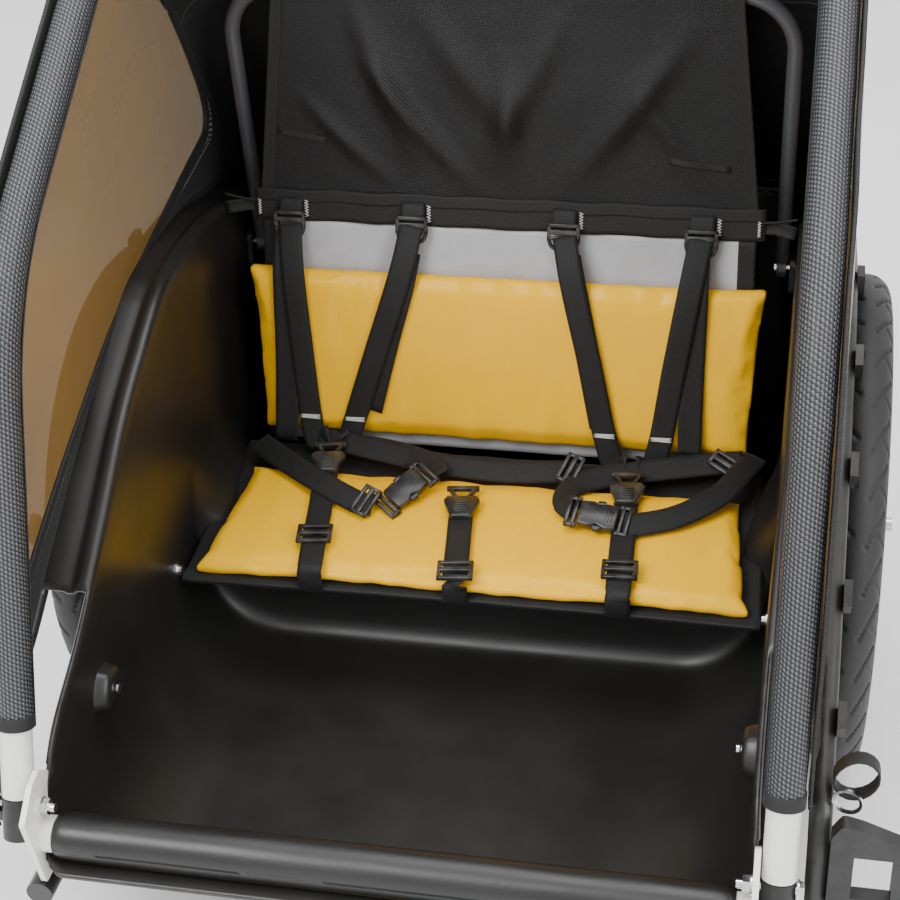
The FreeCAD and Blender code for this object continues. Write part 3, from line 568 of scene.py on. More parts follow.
def merged(parts, finish_numbers=None):
    """Several shapes in one mesh; finish_numbers says which finish each one takes."""
    whole = bmesh.new()
    for i, part in enumerate(parts):
        for face in part.faces:
            face.material_index = finish_numbers[i] if finish_numbers else face.material_index
        mesh = bpy.data.meshes.new("part")
        part.to_mesh(mesh)
        part.free()
        whole.from_mesh(mesh)
        bpy.data.meshes.remove(mesh)
    return whole


def piece(name, bm, slot, body, stands_for=(), finishes=None):
    """Makes the object, gives it its finish and hangs it on its body."""
    mesh = bpy.data.meshes.new(name)
    bm.to_mesh(mesh)
    bm.free()
    for polygon in mesh.polygons:
        polygon.use_smooth = True
    obj = bpy.data.objects.new(name, mesh)
    bpy.context.scene.collection.objects.link(obj)
    for finish in finishes or [slot]:
        mesh.materials.append(FINISHES[finish])
    if body:
        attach(obj, body)
    if stands_for:
        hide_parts(*stands_for)
    return obj


def finer(obj):
    smooth = obj.modifiers.new("finer", "SUBSURF")
    smooth.levels = smooth.render_levels = 1
    return obj


def tube(line, radius, around=24, along=80, uneven=None):
    """A round tube along a line, whose flat map runs round it and along it in metres."""
    start = line.heading(0)
    side = start.cross(Vector((1, 0, 0)) if abs(start.x) < 0.9 else Vector((0, 0, 1))).normalized()
    frames = []
    for k in range(along + 1):
        heading = line.heading(k / along)
        side = (side - heading * side.dot(heading)).normalized()
        frames.append((line.at(k / along), side.copy(), heading.cross(side)))

    def place(u, v):
        middle, one, two = frames[round(v * along)]
        angle = 2 * math.pi * u
        size = radius(v) if callable(radius) else radius
        if uneven:
            size += uneven(u, v)
        return middle + (one * math.cos(angle) + two * math.sin(angle)) * size

    wide = 2 * math.pi * (radius(0.5) if callable(radius) else radius)
    return sealed(skin(around, along, place, (wide, line.length)))


STRAP_WIDE = 0.025
WEBBING_STEP = 0.006


def webbing(points, facing, width=STRAP_WIDE, thick=0.0014, curl=0.0, steps=None):
    """A flat strap along points, its face towards facing(share)."""
    line = points if isinstance(points, Line) else Line(points)
    steps = steps or max(8, int(line.length / WEBBING_STEP))

    def place(u, v):
        out = facing(v) if callable(facing) else Vector(facing)
        side = line.heading(v).cross(out).normalized()
        out = side.cross(line.heading(v))
        across = u - 0.5
        return line.at(v) + side * across * width + out * curl * (across * across * 4 - 0.5)

    return thicken(skin(6, steps, place, (width, line.length)), thick)


TACK_RISE, THREAD_RADIUS = 0.0011, 0.00045


def bar_tack(centre, along, out, width=0.018, rows=5, depth=0.006):
    """Close zigzag rows of white thread that sew a strap's end down."""
    side = along.cross(out).normalized()
    points = []
    for k in range(rows * 2 + 1):
        sign = 1 if k % 2 else -1
        points.append(centre + side * sign * width / 2 + along * depth * (k / (rows * 2) - 0.5))
    raised = [p + out * TACK_RISE for p in points]
    return tube(Line(raised, smooth=False), THREAD_RADIUS, 5, rows * 16)


def stitches(line, out, step=0.0045, size=0.0005):
    """A row of thread stitches lying along a line on a surface facing out."""
    parts = []
    count = max(1, int(line.length / step))
    for k in range(count):
        share = (k + 0.5) / count
        away = out(share) if callable(out) else Vector(out)
        heading = line.heading(share)
        bm = bmesh.new()
        bmesh.ops.create_icosphere(bm, subdivisions=1, radius=1)
        side = heading.cross(away).normalized()
        turn = Matrix((heading, side, side.cross(heading))).transposed().to_4x4()
        stretch = Matrix.Diagonal((step * 0.36, size, size, 1))
        bm.transform(Matrix.Translation(line.at(share)) @ turn @ stretch)
        parts.append(bm)
    return merged(parts)


# ---------------------------------------------------------------- tub

# From the nose to the tail: floor line (back, height), the wall's top edge (across, back, height)
# and the brim's outer edge (across, back).
TUB_STATIONS = [
    (-139, 181, 295, -120, 181, 300, -120), (-124, 181, 302, -108, 186, 357, -92),
    (-108, 162, 302, -102, 208, 357, -86), (-92, 142, 302, -98, 228, 357, -84),
    (-72, 116, 300, -84, 255, 357, -80), (-45, 103, 298, -58, 284, 357, -60),
    (20, 102, 298, 10, 321, 357, 10), (110, 102, 300, 100, 379, 357, 100),
    (210, 102, 303, 190, 438, 357, 190), (285, 102, 303, 262, 477, 357, 262),
    (318, 116, 303, 296, 494, 357, 296), (330, 172, 303, 318, 503, 357, 318),
    (348, 201, 303, 345, 510, 357, 345), (400, 204, 303, 405, 515, 357, 405),
    (446, 201, 303, 468, 513, 357, 468), (470, 176, 303, 500, 508, 357, 500),
    (492, 146, 303, 530, 503, 357, 530), (520, 142, 303, 560, 496, 357, 560),
    (580, 142, 303, 600, 487, 357, 600), (635, 142, 303, 640, 481, 357, 640),
    (660, 160, 302, 668, 477, 357, 675), (676, 240, 298, 690, 474, 355, 712),
    (696, 370, 286, 704, 473, 338, 724), (709, 470, 262, 710, 472, 262, 724),
]
# Across the brim, from the wall out to its edge: share of the width, height above the wall's top.
BRIM = [(0, -7), (0.015, -2.5), (0.05, -0.6), (0.12, 0.2), (0.20, -0.3), (0.26, -3.2), (0.35, -3.6),
        (0.43, -1.4), (0.71, -1.0), (0.9, -1.0), (0.97, -1.8), (1.0, -4.5), (1.0, -9.5)]
WALL_STEPS, BEND_STEPS, FLOOR_STEPS = 16, 14, 10
TUB_ROWS = 170
TUB_THICK = 0.004
FLOOR_BEND = 95
SEAT_BOSSES = [(250, 213), (478, 221)]
BOSS_SWELL, BOSS_REACH, WALL_WAVE = 3.0, 26, 1.2
# The slot in the brim that the front hoop's legs swing through, and the open nose in front of it.
SLOT_INNER, SLOT_OUTER, SLOT_BACK = 302, 339, 48
NOSE_ACROSS, NOSE_BACK = 303.5, -92


def brim_point(rim, edge, step):
    share, up = BRIM[step]
    return Vector((*rim.xy.lerp(edge, share), rim[2] + up))


def tub_section(station):
    """Half a cross-section, from the brim's outer lip to the middle of the floor."""
    floor, rim = Vector(station[0:2]), Vector(station[2:5])
    points = [brim_point(rim, Vector(station[5:7]), k) for k in range(len(BRIM) - 1, -1, -1)]
    down = Vector((floor[0] - rim[1], floor[1] - rim[2]))
    depth = down.length
    bend = min(FLOOR_BEND, depth * 0.85)
    down.normalize()

    def inside(across, deep):
        return Vector((across, rim[1] + down[0] * deep, rim[2] + down[1] * deep))

    for k in range(1, WALL_STEPS + 1):
        deep = (depth - bend) * k / WALL_STEPS
        points.append(inside(rim[0] - 3 * deep / max(depth, 1), max(deep, min(7, depth * 0.2))))
    foot = rim[0] - 3
    for k in range(1, BEND_STEPS + 1):
        angle = math.pi / 2 * k / BEND_STEPS
        points.append(inside(foot - bend * (1 - math.cos(angle)), depth - bend * (1 - math.sin(angle))))
    for k in range(1, FLOOR_STEPS + 1):
        points.append(inside((foot - bend) * (1 - k / FLOOR_STEPS), depth))
    return points


def boss_swell(point):
    """How far the wall leans in behind each seat screw, and in soft waves from the forming."""
    swell = WALL_WAVE * noise.noise(point * 0.006)
    for back, height in SEAT_BOSSES:
        gap = Vector((point.y - back, (point.z - height) * 0.7)).length
        swell += BOSS_SWELL * math.exp(-(gap / BOSS_REACH) ** 2)
    return swell


def make_tub():
    line = Line(TUB_STATIONS)
    rows = [tub_section(line.at(k / TUB_ROWS)) for k in range(TUB_ROWS + 1)]
    half = len(rows[0]) - 1

    def place(u, v):
        step = round(u * 2 * half)
        number = min(step, 2 * half - step)
        point = rows[round(v * TUB_ROWS)][number].copy()
        if len(BRIM) < number < len(BRIM) + WALL_STEPS + BEND_STEPS:
            point.x -= boss_swell(point)
        if step > half:
            point.x = -point.x
        return point * 0.001

    bm = skin(2 * half, TUB_ROWS, place, (1.2, 1.3))
    hoop_room = []
    for face in bm.faces:
        middle = face.calc_center_median() * 1000
        across, back = abs(middle.x), middle.y
        in_slot = SLOT_INNER < across < SLOT_OUTER and back < SLOT_BACK
        if in_slot or across > NOSE_ACROSS and back < NOSE_BACK:
            hoop_room.append(face)
    bmesh.ops.delete(bm, geom=hoop_room, context="FACES")
    last = line.at(1)
    rim = Vector(last[2:5])

    def rear_brim(u, v):
        point = brim_point(rim, Vector(last[5:7]), round(v * (len(BRIM) - 1)))
        point.x = rim.x * (1 - 2 * u)
        return point * 0.001

    whole = merged([bm, skin(40, len(BRIM) - 1, rear_brim)])
    bmesh.ops.remove_doubles(whole, verts=whole.verts, dist=WIDE_WELD_GAP)
    return piece("tub_shell", thicken(whole, TUB_THICK), "tub_plastic", "chassis", ["tub"])


# ---------------------------------------------------------------- front cross tube and hoop sleeves

FOOT, KNEE, CROWN = Vector((320, -110, 232)), Vector((320, 19, 654)), Vector((320, 440, 930))
KNEE_RADIUS = 250
SHIN, THIGH = (KNEE - FOOT).normalized(), (CROWN - KNEE).normalized()
SLEEVE_RADIUS = 0.0160
# How far each sleeve stops short of the foot and of the crown's corner.
SLEEVE_LOW, SLEEVE_HIGH = 72, 110
FOAM_RADIUS = 0.0205


def make_foam():
    """The foam sleeve on the cross tube: a slit along it and small dents from use."""
    ends = at(-288, -112, 203), at(288, -112, 203)

    def uneven(u, v):
        slit = -0.0011 * math.exp(-((u - 0.12) / 0.012) ** 2)
        dents = 0.0004 * noise.noise(Vector((v * 9, math.cos(u * 6.3), math.sin(u * 6.3))))
        ends_in = -0.003 * (math.exp(-v * 130) + math.exp(-(1 - v) * 130))
        return slit + dents + ends_in

    bm = tube(Line(ends, smooth=False), FOAM_RADIUS, 64, 150, uneven)
    return piece("cross_tube_foam", bm, "foam", "chassis", ["front_tube_foam"])


def make_sleeves():
    route = rounded_route([FOOT + SHIN * SLEEVE_LOW, KNEE, CROWN - THIGH * SLEEVE_HIGH], [KNEE_RADIUS])
    for side, name in ((1, "left"), (-1, "right")):
        line = Line([Vector((p.x * side, p.y, p.z)) * 0.001 for p in route], smooth=False)

        def uneven(u, v):
            return 0.0004 * noise.noise(Vector((v * 26, u * 5, side)))

        cover = tube(line, SLEEVE_RADIUS, 40, 190, uneven)
        inner = Vector((-side, 0.45, -0.25)).normalized()
        seam_dots = []
        for k in range(41):
            heading = line.heading(k / 40)
            out = (inner - heading * inner.dot(heading)).normalized()
            seam_dots.append(line.at(k / 40) + out * (SLEEVE_RADIUS + 0.0004))
        seam = webbing(seam_dots, inner, 0.009, 0.0012, steps=150)
        cuffs = []
        for low, high in ((0.0, 0.016), (0.984, 1.0)):
            cuff = Line([line.at(low), line.at(high)], smooth=False)
            cuffs.append(tube(cuff, SLEEVE_RADIUS + 0.0009, 40, 6))
        thread = stitches(Line(seam_dots), inner, 0.0052, 0.00035)
        whole = merged([cover, seam] + cuffs + [thread], [0, 1, 2, 2, 2])
        piece("hoop_sleeve_" + name, whole, "sleeve_mesh", "front_hoop_frame",
              ["hoop_sleeves"] if side > 0 else [], ["sleeve_mesh", "webbing", "black_cloth"])


# From the wall inwards: how far out the tab stands, and how wide it still is.
TAB_STEPS = [(-4, 1.12), (0, 1.04), (3, 0.97), (7, 0.92), (11, 0.86), (13.4, 0.74), (14.3, 0.55), (14.5, 0.0)]
TAB_OUTLINE = [(-25, -15), (0, -17), (25, -15), (25, -2), (15, 14), (0, 18), (-12, 17), (-24, 2)]
TAB_PLACE = Vector((296.4, 36, 248))
TAB_LEAN = 0.07


def make_wall_tabs():
    """The smooth D-shaped swellings beside the feet, each round a screw."""
    outline = Line([(0, *p) for p in TAB_OUTLINE], closed=True)
    tabs = []
    for side in (1, -1):
        def place(u, v, side=side):
            stand, wide = TAB_STEPS[round(v * (len(TAB_STEPS) - 1))]
            spot = outline.at(u) * wide
            deep = TAB_PLACE.x - stand + TAB_LEAN * spot.z
            return Vector((side * deep, TAB_PLACE.y + spot.y,
                           TAB_PLACE.z + spot.z)) * 0.001

        tabs.append(sealed(skin(64, len(TAB_STEPS) - 1, place, (0.11, 0.03))))
    finer(piece("foot_wall_tabs", merged(tabs), "tub_plastic", "chassis", ["wall_tabs"]))


# ---------------------------------------------------------------- seat

SEAT_TILT, BACK_TILT = math.radians(6.45), math.radians(8.9)
SEAT_FRONT = Vector((0, 250, 221))
BACK_FOOT = Vector((0, 489, 259))
CUSHION_THICK, BACK_THICK = 16, 18


def on_sling(across, behind, above):
    """A point in the seat's plane: behind its front edge, above its sling."""
    along = Vector((0, math.cos(SEAT_TILT), math.sin(SEAT_TILT)))
    up = Vector((0, -math.sin(SEAT_TILT), math.cos(SEAT_TILT)))
    return (SEAT_FRONT + Vector((across, 0, 0)) + along * behind + up * above) * 0.001


def on_seat(across, back, above):
    """A point over the seat cushion's top, at a given place across and back."""
    return on_sling(across, (back - SEAT_FRONT.y) / math.cos(SEAT_TILT), CUSHION_THICK + above)


def on_back(across, up, forward):
    """A point in the seat back's plane, forward of the back cushion's rear face."""
    rise = Vector((0, math.sin(BACK_TILT), math.cos(BACK_TILT)))
    ahead = Vector((0, -math.cos(BACK_TILT), math.sin(BACK_TILT)))
    return (BACK_FOOT + Vector((across, 0, 0)) + rise * up + ahead * forward) * 0.001


SEAT_UP = (on_sling(0, 0, 1) - on_sling(0, 0, 0)).normalized()
BACK_OUT = (on_back(0, 0, 1) - on_back(0, 0, 0)).normalized()


PAD_INSET = 2.0
PRESSURE, STIFFNESS, BENDING, STEPS = 4.0, 12, 0.4, 20
VOXEL = 0.005


def pad_block(place, outline, thick):
    """A closed block in a tilted plane, a little smaller than the pad that it swells into."""
    bm = bmesh.new()
    bmesh.ops.create_cube(bm, size=1)
    low = [Vector((p[0] - math.copysign(PAD_INSET, p[0]), p[1])) for p in outline]
    front, back = low[:2], low[2:]
    for vert in bm.verts:
        across, along, up = vert.co
        edge = front if along < 0 else back
        spot = edge[0] if across < 0 else edge[1]
        shift = PAD_INSET if along < 0 else -PAD_INSET
        vert.co = place(spot.x, spot.y + shift, thick if up > 0 else 1.0)
    return bm


def swollen(name, bm, cap):
    """Remeshes a block finely and swells it as cloth; no point moves further than cap."""
    mesh = bpy.data.meshes.new(name)
    bm.to_mesh(mesh)
    bm.free()
    obj = bpy.data.objects.new(name, mesh)
    bpy.context.scene.collection.objects.link(obj)
    remesh = obj.modifiers.new("remesh", "REMESH")
    remesh.mode = "VOXEL"
    remesh.voxel_size = VOXEL
    take_shape(obj)
    rest = [v.co.copy() for v in obj.data.vertices]
    cloth = obj.modifiers.new("cloth", "CLOTH")
    cloth.settings.use_pressure = True
    cloth.settings.uniform_pressure_force = PRESSURE
    cloth.settings.effector_weights.gravity = 0
    cloth.settings.tension_stiffness = STIFFNESS
    cloth.settings.compression_stiffness = STIFFNESS
    cloth.settings.bending_stiffness = BENDING
    for number in range(1, STEPS + 1):
        bpy.context.scene.frame_set(number)
    take_shape(obj)
    bpy.context.scene.frame_set(1)
    for vert, start in zip(obj.data.vertices, rest):
        moved = vert.co - start
        if moved.length > cap:
            vert.co = start + moved.normalized() * cap
    out = bmesh.new()
    out.from_mesh(obj.data)
    bpy.data.objects.remove(obj)
    return out


def take_shape(obj):
    """Applies the piece's modifiers to its mesh."""
    evaluated = obj.evaluated_get(bpy.context.evaluated_depsgraph_get())
    mesh = bpy.data.meshes.new_from_object(evaluated)
    obj.modifiers.clear()
    obj.data = mesh


def pad_edges(place, outline, thick):
    """The pad's seam line, half way up its edge."""
    return [place(x, y, thick / 2) for x, y in (outline[0], outline[1], outline[3], outline[2])]


# How much thinner the block is than the pad, and how far and how wide its corners are drawn in.
SWELL = 5.0
CORNER_PULL, CORNER_REACH, RIM_REACH = 0.0015, 0.045, 0.06


def drawn_out(bm, place, outline):
    """Widens the swollen pad evenly, until its ends reach the pad's own outline again."""
    reach = max(abs(p[0]) for p in outline) * 0.001
    widest = max(abs(v.co.x) for v in bm.verts)
    along = (place(0, 1, 0) - place(0, 0, 0)).normalized()
    low, high = (place(0, y, 0).dot(along) for y in (outline[0][1], outline[2][1]))
    spots = [v.co.dot(along) for v in bm.verts]
    stretch = (high - low) / (max(spots) - min(spots))
    base = min(spots)
    for vert, spot in zip(bm.verts, spots):
        vert.co.x *= reach / widest
        vert.co += along * (low + (spot - base) * stretch - spot)


def make_cushion(name, node, place, outline, thick, cap, wrinkle):
    bm = swollen(name + "_form", pad_block(place, outline, thick - SWELL), cap)
    drawn_out(bm, place, outline)
    corners = pad_edges(place, outline, thick)
    out = (place(0, 0, 1) - place(0, 0, 0)).normalized()
    for vert in bm.verts:
        nearest = min((vert.co - c).length for c in corners)
        pull = CORNER_PULL * math.exp(-(nearest / CORNER_REACH) ** 2)
        spot = vert.co * 1000
        crease = noise.noise(Vector((spot.x * 0.05, spot.y * 0.018, spot.z * 0.018)) + Vector((7, 3, 1)))
        rim = min(edge_distance(vert.co, corners), RIM_REACH) / RIM_REACH
        vert.co += out * (wrinkle * crease * (1.3 - rim) - pull)
    bmesh.ops.smooth_vert(bm, verts=bm.verts, factor=0.3, use_axis_x=True, use_axis_y=True,
                          use_axis_z=True)
    obj = finer(piece(name, bm, "yellow_vinyl", "chassis", [node]))
    return obj


def edge_distance(point, corners):
    gaps = []
    for one, two in zip(corners, corners[1:] + corners[:1]):
        run = two - one
        share = min(max((point - one).dot(run) / run.length_squared, 0), 1)
        gaps.append((point - one - run * share).length)
    return min(gaps)


def make_seat():
    seat_outline = [(-279, 2), (279, 2), (-262, 166), (262, 166)]
    make_cushion("seat_cushion_pad", "seat_cushion", on_sling, seat_outline, CUSHION_THICK, 0.006, 0.0022)
    back_outline = [(-264, 0), (264, 0), (-274, 188), (274, 188)]
    make_cushion("back_cushion_pad", "back_cushion", on_back, back_outline, BACK_THICK, 0.007, 0.0026)


def make_sling():
    """The black seat cloth, pulled to four screws, with a bound front edge."""
    def place(u, v):
        across, behind = (u - 0.5) * 2, v * 226
        half = 291 - 8 * v
        waist = 7 * (1 - across * across) * (1 - v)
        sag = -2.5 * (1 - across * across) * math.sin(math.pi * min(v * 1.3, 1))
        ripple = 0.8 * noise.noise(Vector((u * 16, v * 3, 2)))
        return on_sling(across * half, behind + waist * 0.5, -3 + sag + ripple)

    bm = thicken(skin(90, 36, place, (0.58, 0.226)), 0.0016)
    front = [place(k / 30, 0) for k in range(31)]
    binding = webbing(front, SEAT_UP, 0.016, 0.0042, 0.0005)
    sides = [webbing([place(u, k / 10) for k in range(11)], SEAT_UP, 0.012, 0.003) for u in (0.012, 0.988)]
    hem = piece("seat_cloth_hem", merged([binding] + sides), "webbing", "chassis")
    obj = piece("seat_cloth", bm, "black_cloth", "chassis", ["seat_sling"])


def make_back_panel():
    """The light grey panel behind the back cushion, slack between its bound edges."""
    def place(u, v):
        across = (u - 0.5) * 2
        half = 262 - 4 * v
        slack = 1.6 * noise.noise(Vector((u * 7, v * 3, 5))) * (1 - abs(across) ** 3)
        return on_back(across * half, -14 + 250 * v, -2.2 + slack)

    bm = thicken(skin(80, 50, place, (0.52, 0.25)), 0.0009)
    edges = [webbing([place(u, k / 12) for k in range(13)], BACK_OUT, 0.018, 0.0026, 0.0004)
             for u in (0.014, 0.986)]
    binding = piece("back_panel_binding", merged(edges), "webbing", "chassis")
    obj = piece("grey_panel", bm, "grey_cloth", "chassis", ["back_panel"])


RING_PLACES = [-228, -96, 64, 205]


def make_back_band():
    """The webbing band that the shoulder straps hang from, with its sewn loops and white tacks."""
    def across_back(forward, wave):
        return [on_back(-268 + 536 * k / 24, 249 + 0.8 * math.sin(k * 1.9),
                        forward + wave * math.sin(k * 1.3)) for k in range(25)]

    band = webbing(across_back(-0.8, 0.6), BACK_OUT, STRAP_WIDE, 0.0024)
    hem = webbing([p + Vector((0, 0, 0.014)) for p in across_back(-2.0, 0.9)], BACK_OUT, 0.013, 0.0016)
    parts, tacks = [band, hem], []
    up = (on_back(0, 1, 0) - on_back(0, 0, 0)).normalized()
    for x in RING_PLACES:
        loop = [on_back(x, 262, 1.5), on_back(x, 258, 3.2), on_back(x, 249, 5.0), on_back(x, 241, 7.4),
                on_back(x, 238, 6.0), on_back(x, 243, 3.5), on_back(x, 256, 1.8)]
        parts.append(webbing(loop, lambda v: BACK_OUT + up * (2 * v - 1), STRAP_WIDE, 0.0015))
        tacks.append(bar_tack(on_back(x + 17, 250, 1.0), up, BACK_OUT, 0.004, 6, 0.018))
    for x in (-262, 262):
        tacks.append(bar_tack(on_back(x, 250, 1.0), up, BACK_OUT, 0.003, 6, 0.016))
    whole = merged(parts + tacks, [0] * len(parts) + [1] * len(tacks))
    piece("band_webbing", whole, "webbing", "chassis", ["back_band"], ["webbing", "white_thread"])
    for side in (1, -1):
        run = [on_back(side * 262, 250, -1.5), on_back(side * 276, 251, -2), on_back(side * 288, 249, 0),
               on_back(side * 299, 247, 1)]
        twisted = webbing(run, BACK_OUT, 0.013, 0.0014, 0.002)
        cord_run = [on_back(side * 262, 256, 0), on_back(side * 280, 258, 1), on_back(side * 300, 262, 2)]
        strand = tube(Line(cord_run), 0.0014, 8, 24)
        name = "band_end_strap_" + ("left" if side > 0 else "right")
        obj = piece(name, merged([twisted, strand]), "webbing", None,
                    stands_for=["band_end_straps"] if side > 0 else [])
        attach(obj, "chassis")


# Slack folds in the net, each from one place to another: across and up as shares, width, depth.
NET_FOLDS = [(0.14, 1.0, 0.36, 0.06, 0.030, 10), (0.66, 0.95, 0.42, 0.05, 0.035, 9),
             (0.22, 0.60, 0.46, 0.02, 0.024, 9), (0.90, 0.80, 0.60, 0.04, 0.034, 9),
             (0.08, 0.45, 0.30, 0.03, 0.022, 7), (0.50, 0.65, 0.52, 0.03, 0.026, 8),
             (0.78, 0.50, 0.93, 0.04, 0.024, 7), (0.30, 0.90, 0.52, 0.30, 0.040, 7)]


def fold_depth(u, v):
    depth = 0.0
    for u1, v1, u2, v2, wide, deep in NET_FOLDS:
        start, run = Vector((u1, v1)), Vector((u2 - u1, v2 - v1))
        share = min(max((Vector((u, v)) - start).dot(run) / run.length_squared, 0), 1)
        gap = (Vector((u, v)) - start - run * share).length
        depth += deep * math.sin(math.pi * min(share * 0.9 + 0.1, 1)) * math.exp(-(gap / wide) ** 2)
    return depth


def make_net():
    """The black net of the seat's upper back, from the band up and over the rear hoop."""
    middle = Line([(0, 532, 512), (0, 536, 560), (0, 541, 640), (0, 545, 715), (0, 547, 742),
                   (0, 556, 748), (0, 563, 740)])

    def place(u, v):
        point = middle.at(v).copy()
        across = (u - 0.5) * 2
        loose = math.sin(math.pi * min(v * 1.1, 1.0)) * (1 - across ** 6)
        point.x = across * (262 - 26 * min(v / 0.85, 1))
        point.y += (-fold_depth(u, v) * 0.9 + 3.0 * noise.noise(Vector((u * 4, v * 3, 9)))) * loose
        return point * 0.001

    bm = thicken(skin(130, 80, place, (0.51, 0.26)), 0.0006)
    edges = []
    for u in (0.012, 0.988):
        edges.append(webbing([place(u, k / 20) + BACK_OUT * 0.001 for k in range(21)], BACK_OUT, 0.012,
                             0.0022, 0.0004))
    for low, high, level in ((0.03, 0.13, 0.30), (0.83, 0.95, 0.24)):
        seam = [place(low + (high - low) * k / 8, level - 0.03 * k / 8) + BACK_OUT * 0.001 for k in range(9)]
        edges.append(webbing(seam, BACK_OUT, 0.006, 0.0016))
    binding = piece("net_binding", merged(edges), "webbing", None)
    obj = piece("net_back", bm, "black_mesh", None, ["mesh_back"])
    for soft in (obj, binding):
        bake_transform(soft)


# ---------------------------------------------------------------- harness


def slab(outline, thick, round_edge=0.0012):
    """A moulded plate: an outline in its own plane, padded up and eased along its edges."""
    bm = bmesh.new()
    face = bm.faces.new([bm.verts.new((x, y, 0)) for x, y in outline])
    made = bmesh.ops.extrude_face_region(bm, geom=[face])
    for item in made["geom"]:
        if isinstance(item, bmesh.types.BMVert):
            item.co.z = thick
    bmesh.ops.recalc_face_normals(bm, faces=bm.faces)
    bmesh.ops.bevel(bm, geom=bm.edges[:], offset=round_edge, segments=2, profile=0.5, affect="EDGES",
                    material=-1)
    return bm


def bar(width, deep, thick, x=0.0, y=0.0, z=0.0, round_edge=0.0008):
    half = width / 2
    bm = slab([(-half, -deep / 2), (half, -deep / 2), (half, deep / 2), (-half, deep / 2)], thick,
              round_edge)
    bm.transform(Matrix.Translation((x, y, z)))
    return bm


def laid(parts, place, heading, out):
    """Sets a fitting made in its own plane onto a surface: heading is its +Y, out is its +Z."""
    out = Vector(out).normalized()
    heading = (Vector(heading) - out * Vector(heading).dot(out)).normalized()
    side = heading.cross(out)
    turn = Matrix((side, heading, out)).transposed().to_4x4()
    whole = merged(parts)
    whole.transform(Matrix.Translation(place) @ turn)
    return whole


def ladder_slide(width=0.034, deep=0.024, thick=0.004):
    rim = 0.004
    parts = [bar(width, rim, thick, 0, side * (deep - rim) / 2) for side in (1, -1)]
    parts += [bar(rim, deep, thick, side * (width - rim) / 2, 0) for side in (1, -1)]
    parts.append(bar(width - 0.004, 0.005, thick * 1.1, 0, 0, 0.0006))
    return parts


def latch_tongue():
    """The harness tongue: a flared grip with ribs and a triangular eye above."""
    body = slab([(-0.010, -0.016), (0.010, -0.016), (0.019, 0.010), (0.015, 0.016), (-0.015, 0.016),
                 (-0.019, 0.010)], 0.0075, 0.0018)
    ribs = [bar(0.014, 0.0016, 0.0012, 0, -0.009 + 0.0035 * k, 0.0073, 0.0004) for k in range(5)]
    prongs = [slab([(s * 0.003, 0.014), (s * 0.007, 0.014), (s * 0.016, 0.032), (s * 0.011, 0.032)][::s],
                   0.005, 0.0010) for s in (1, -1)]
    top = bar(0.034, 0.005, 0.005, 0, 0.032)
    return [body, top] + ribs + prongs


def side_release():
    """A side-release buckle: the shell, its two squeezed arms and the strap bars at each end."""
    shell = slab([(-0.013, -0.020), (0.013, -0.020), (0.0145, -0.006), (0.0105, 0.000), (0.0145, 0.008),
                  (0.013, 0.020), (-0.013, 0.020), (-0.0145, 0.008), (-0.0105, 0.000), (-0.0145, -0.006)],
                 0.0095, 0.0016)
    arms = [slab([(s * 0.0115, -0.005), (s * 0.0165, -0.003), (s * 0.0172, 0.004), (s * 0.0125, 0.007)][::s],
                 0.0068, 0.0010) for s in (1, -1)]
    for arm in arms:
        arm.transform(Matrix.Translation((0, 0, 0.0014)))
    ends = [bar(0.034, 0.004, 0.006, 0, y, 0.001) for y in (-0.031, -0.024, 0.031, 0.024)]
    ends += [bar(0.004, 0.012, 0.006, s * 0.015, y, 0.001) for s in (1, -1) for y in (-0.026, 0.026)]
    ribs = [bar(0.012, 0.0014, 0.0010, 0, 0.008 + 0.0032 * k, 0.0093, 0.0003) for k in range(3)]
    return [shell] + arms + ends + ribs


def d_ring():
    """A wire D: the straight side that the loop holds, and the bow that the strap runs through."""
    half, low, wire = 0.015, 0.018, 0.0021
    route = [(-half, 0, 0), (-half, -low * 0.55, 0), (-half * 0.62, -low, 0), (half * 0.62, -low, 0),
             (half, -low * 0.55, 0), (half, 0, 0)]
    bow = tube(Line(route), wire, 10, 60)
    tie = tube(Line([(-half, 0, 0), (half, 0, 0)], smooth=False), wire, 10, 4)
    return [bow, tie]


# Shoulder straps on the back cushion: across and up at the top, then at the bottom.
SHOULDER = {
    "right": [[(-227, 236), (-222, 186), (-215, 100), (-208, 24), (-200, -6)],
              [(-95, 240), (-106, 188), (-134, 100), (-158, 24), (-168, -4)]],
    "left": [[(65, 236), (76, 188), (97, 100), (114, 24), (128, -14)],
             [(205, 240), (197, 188), (184, 100), (174, 24), (164, -12)]],
}
TAILS = {
    "right": [[(-231, 226), (-232, 186), (-233, 90), (-236, -6)],
              [(-99, 210), (-104, 176), (-122, 110), (-141, 34)]],
    "left": [[(70, 214), (80, 176), (94, 110), (110, 32)],
             [(202, 236), (203, 186), (203, 100), (204, 8)]],
}
TONGUES = {"right": (-176, 420), "centre": (-20, 362), "left": (146, 404)}


def shoulder_run(points, over, tongue=None):
    """A strap's route: out over the top of the cushion, down its face, then onto the seat."""
    route = []
    for across, up in points:
        forward = BACK_THICK + over if up < 192 else 9 + over * 0.4
        if up < 10:
            forward += 4
        route.append(on_back(across, up, forward))
    if tongue:
        route.append(on_seat(tongue[0] + (points[-1][0] - tongue[0]) * 0.35, tongue[1] + 36, 11))
    return route


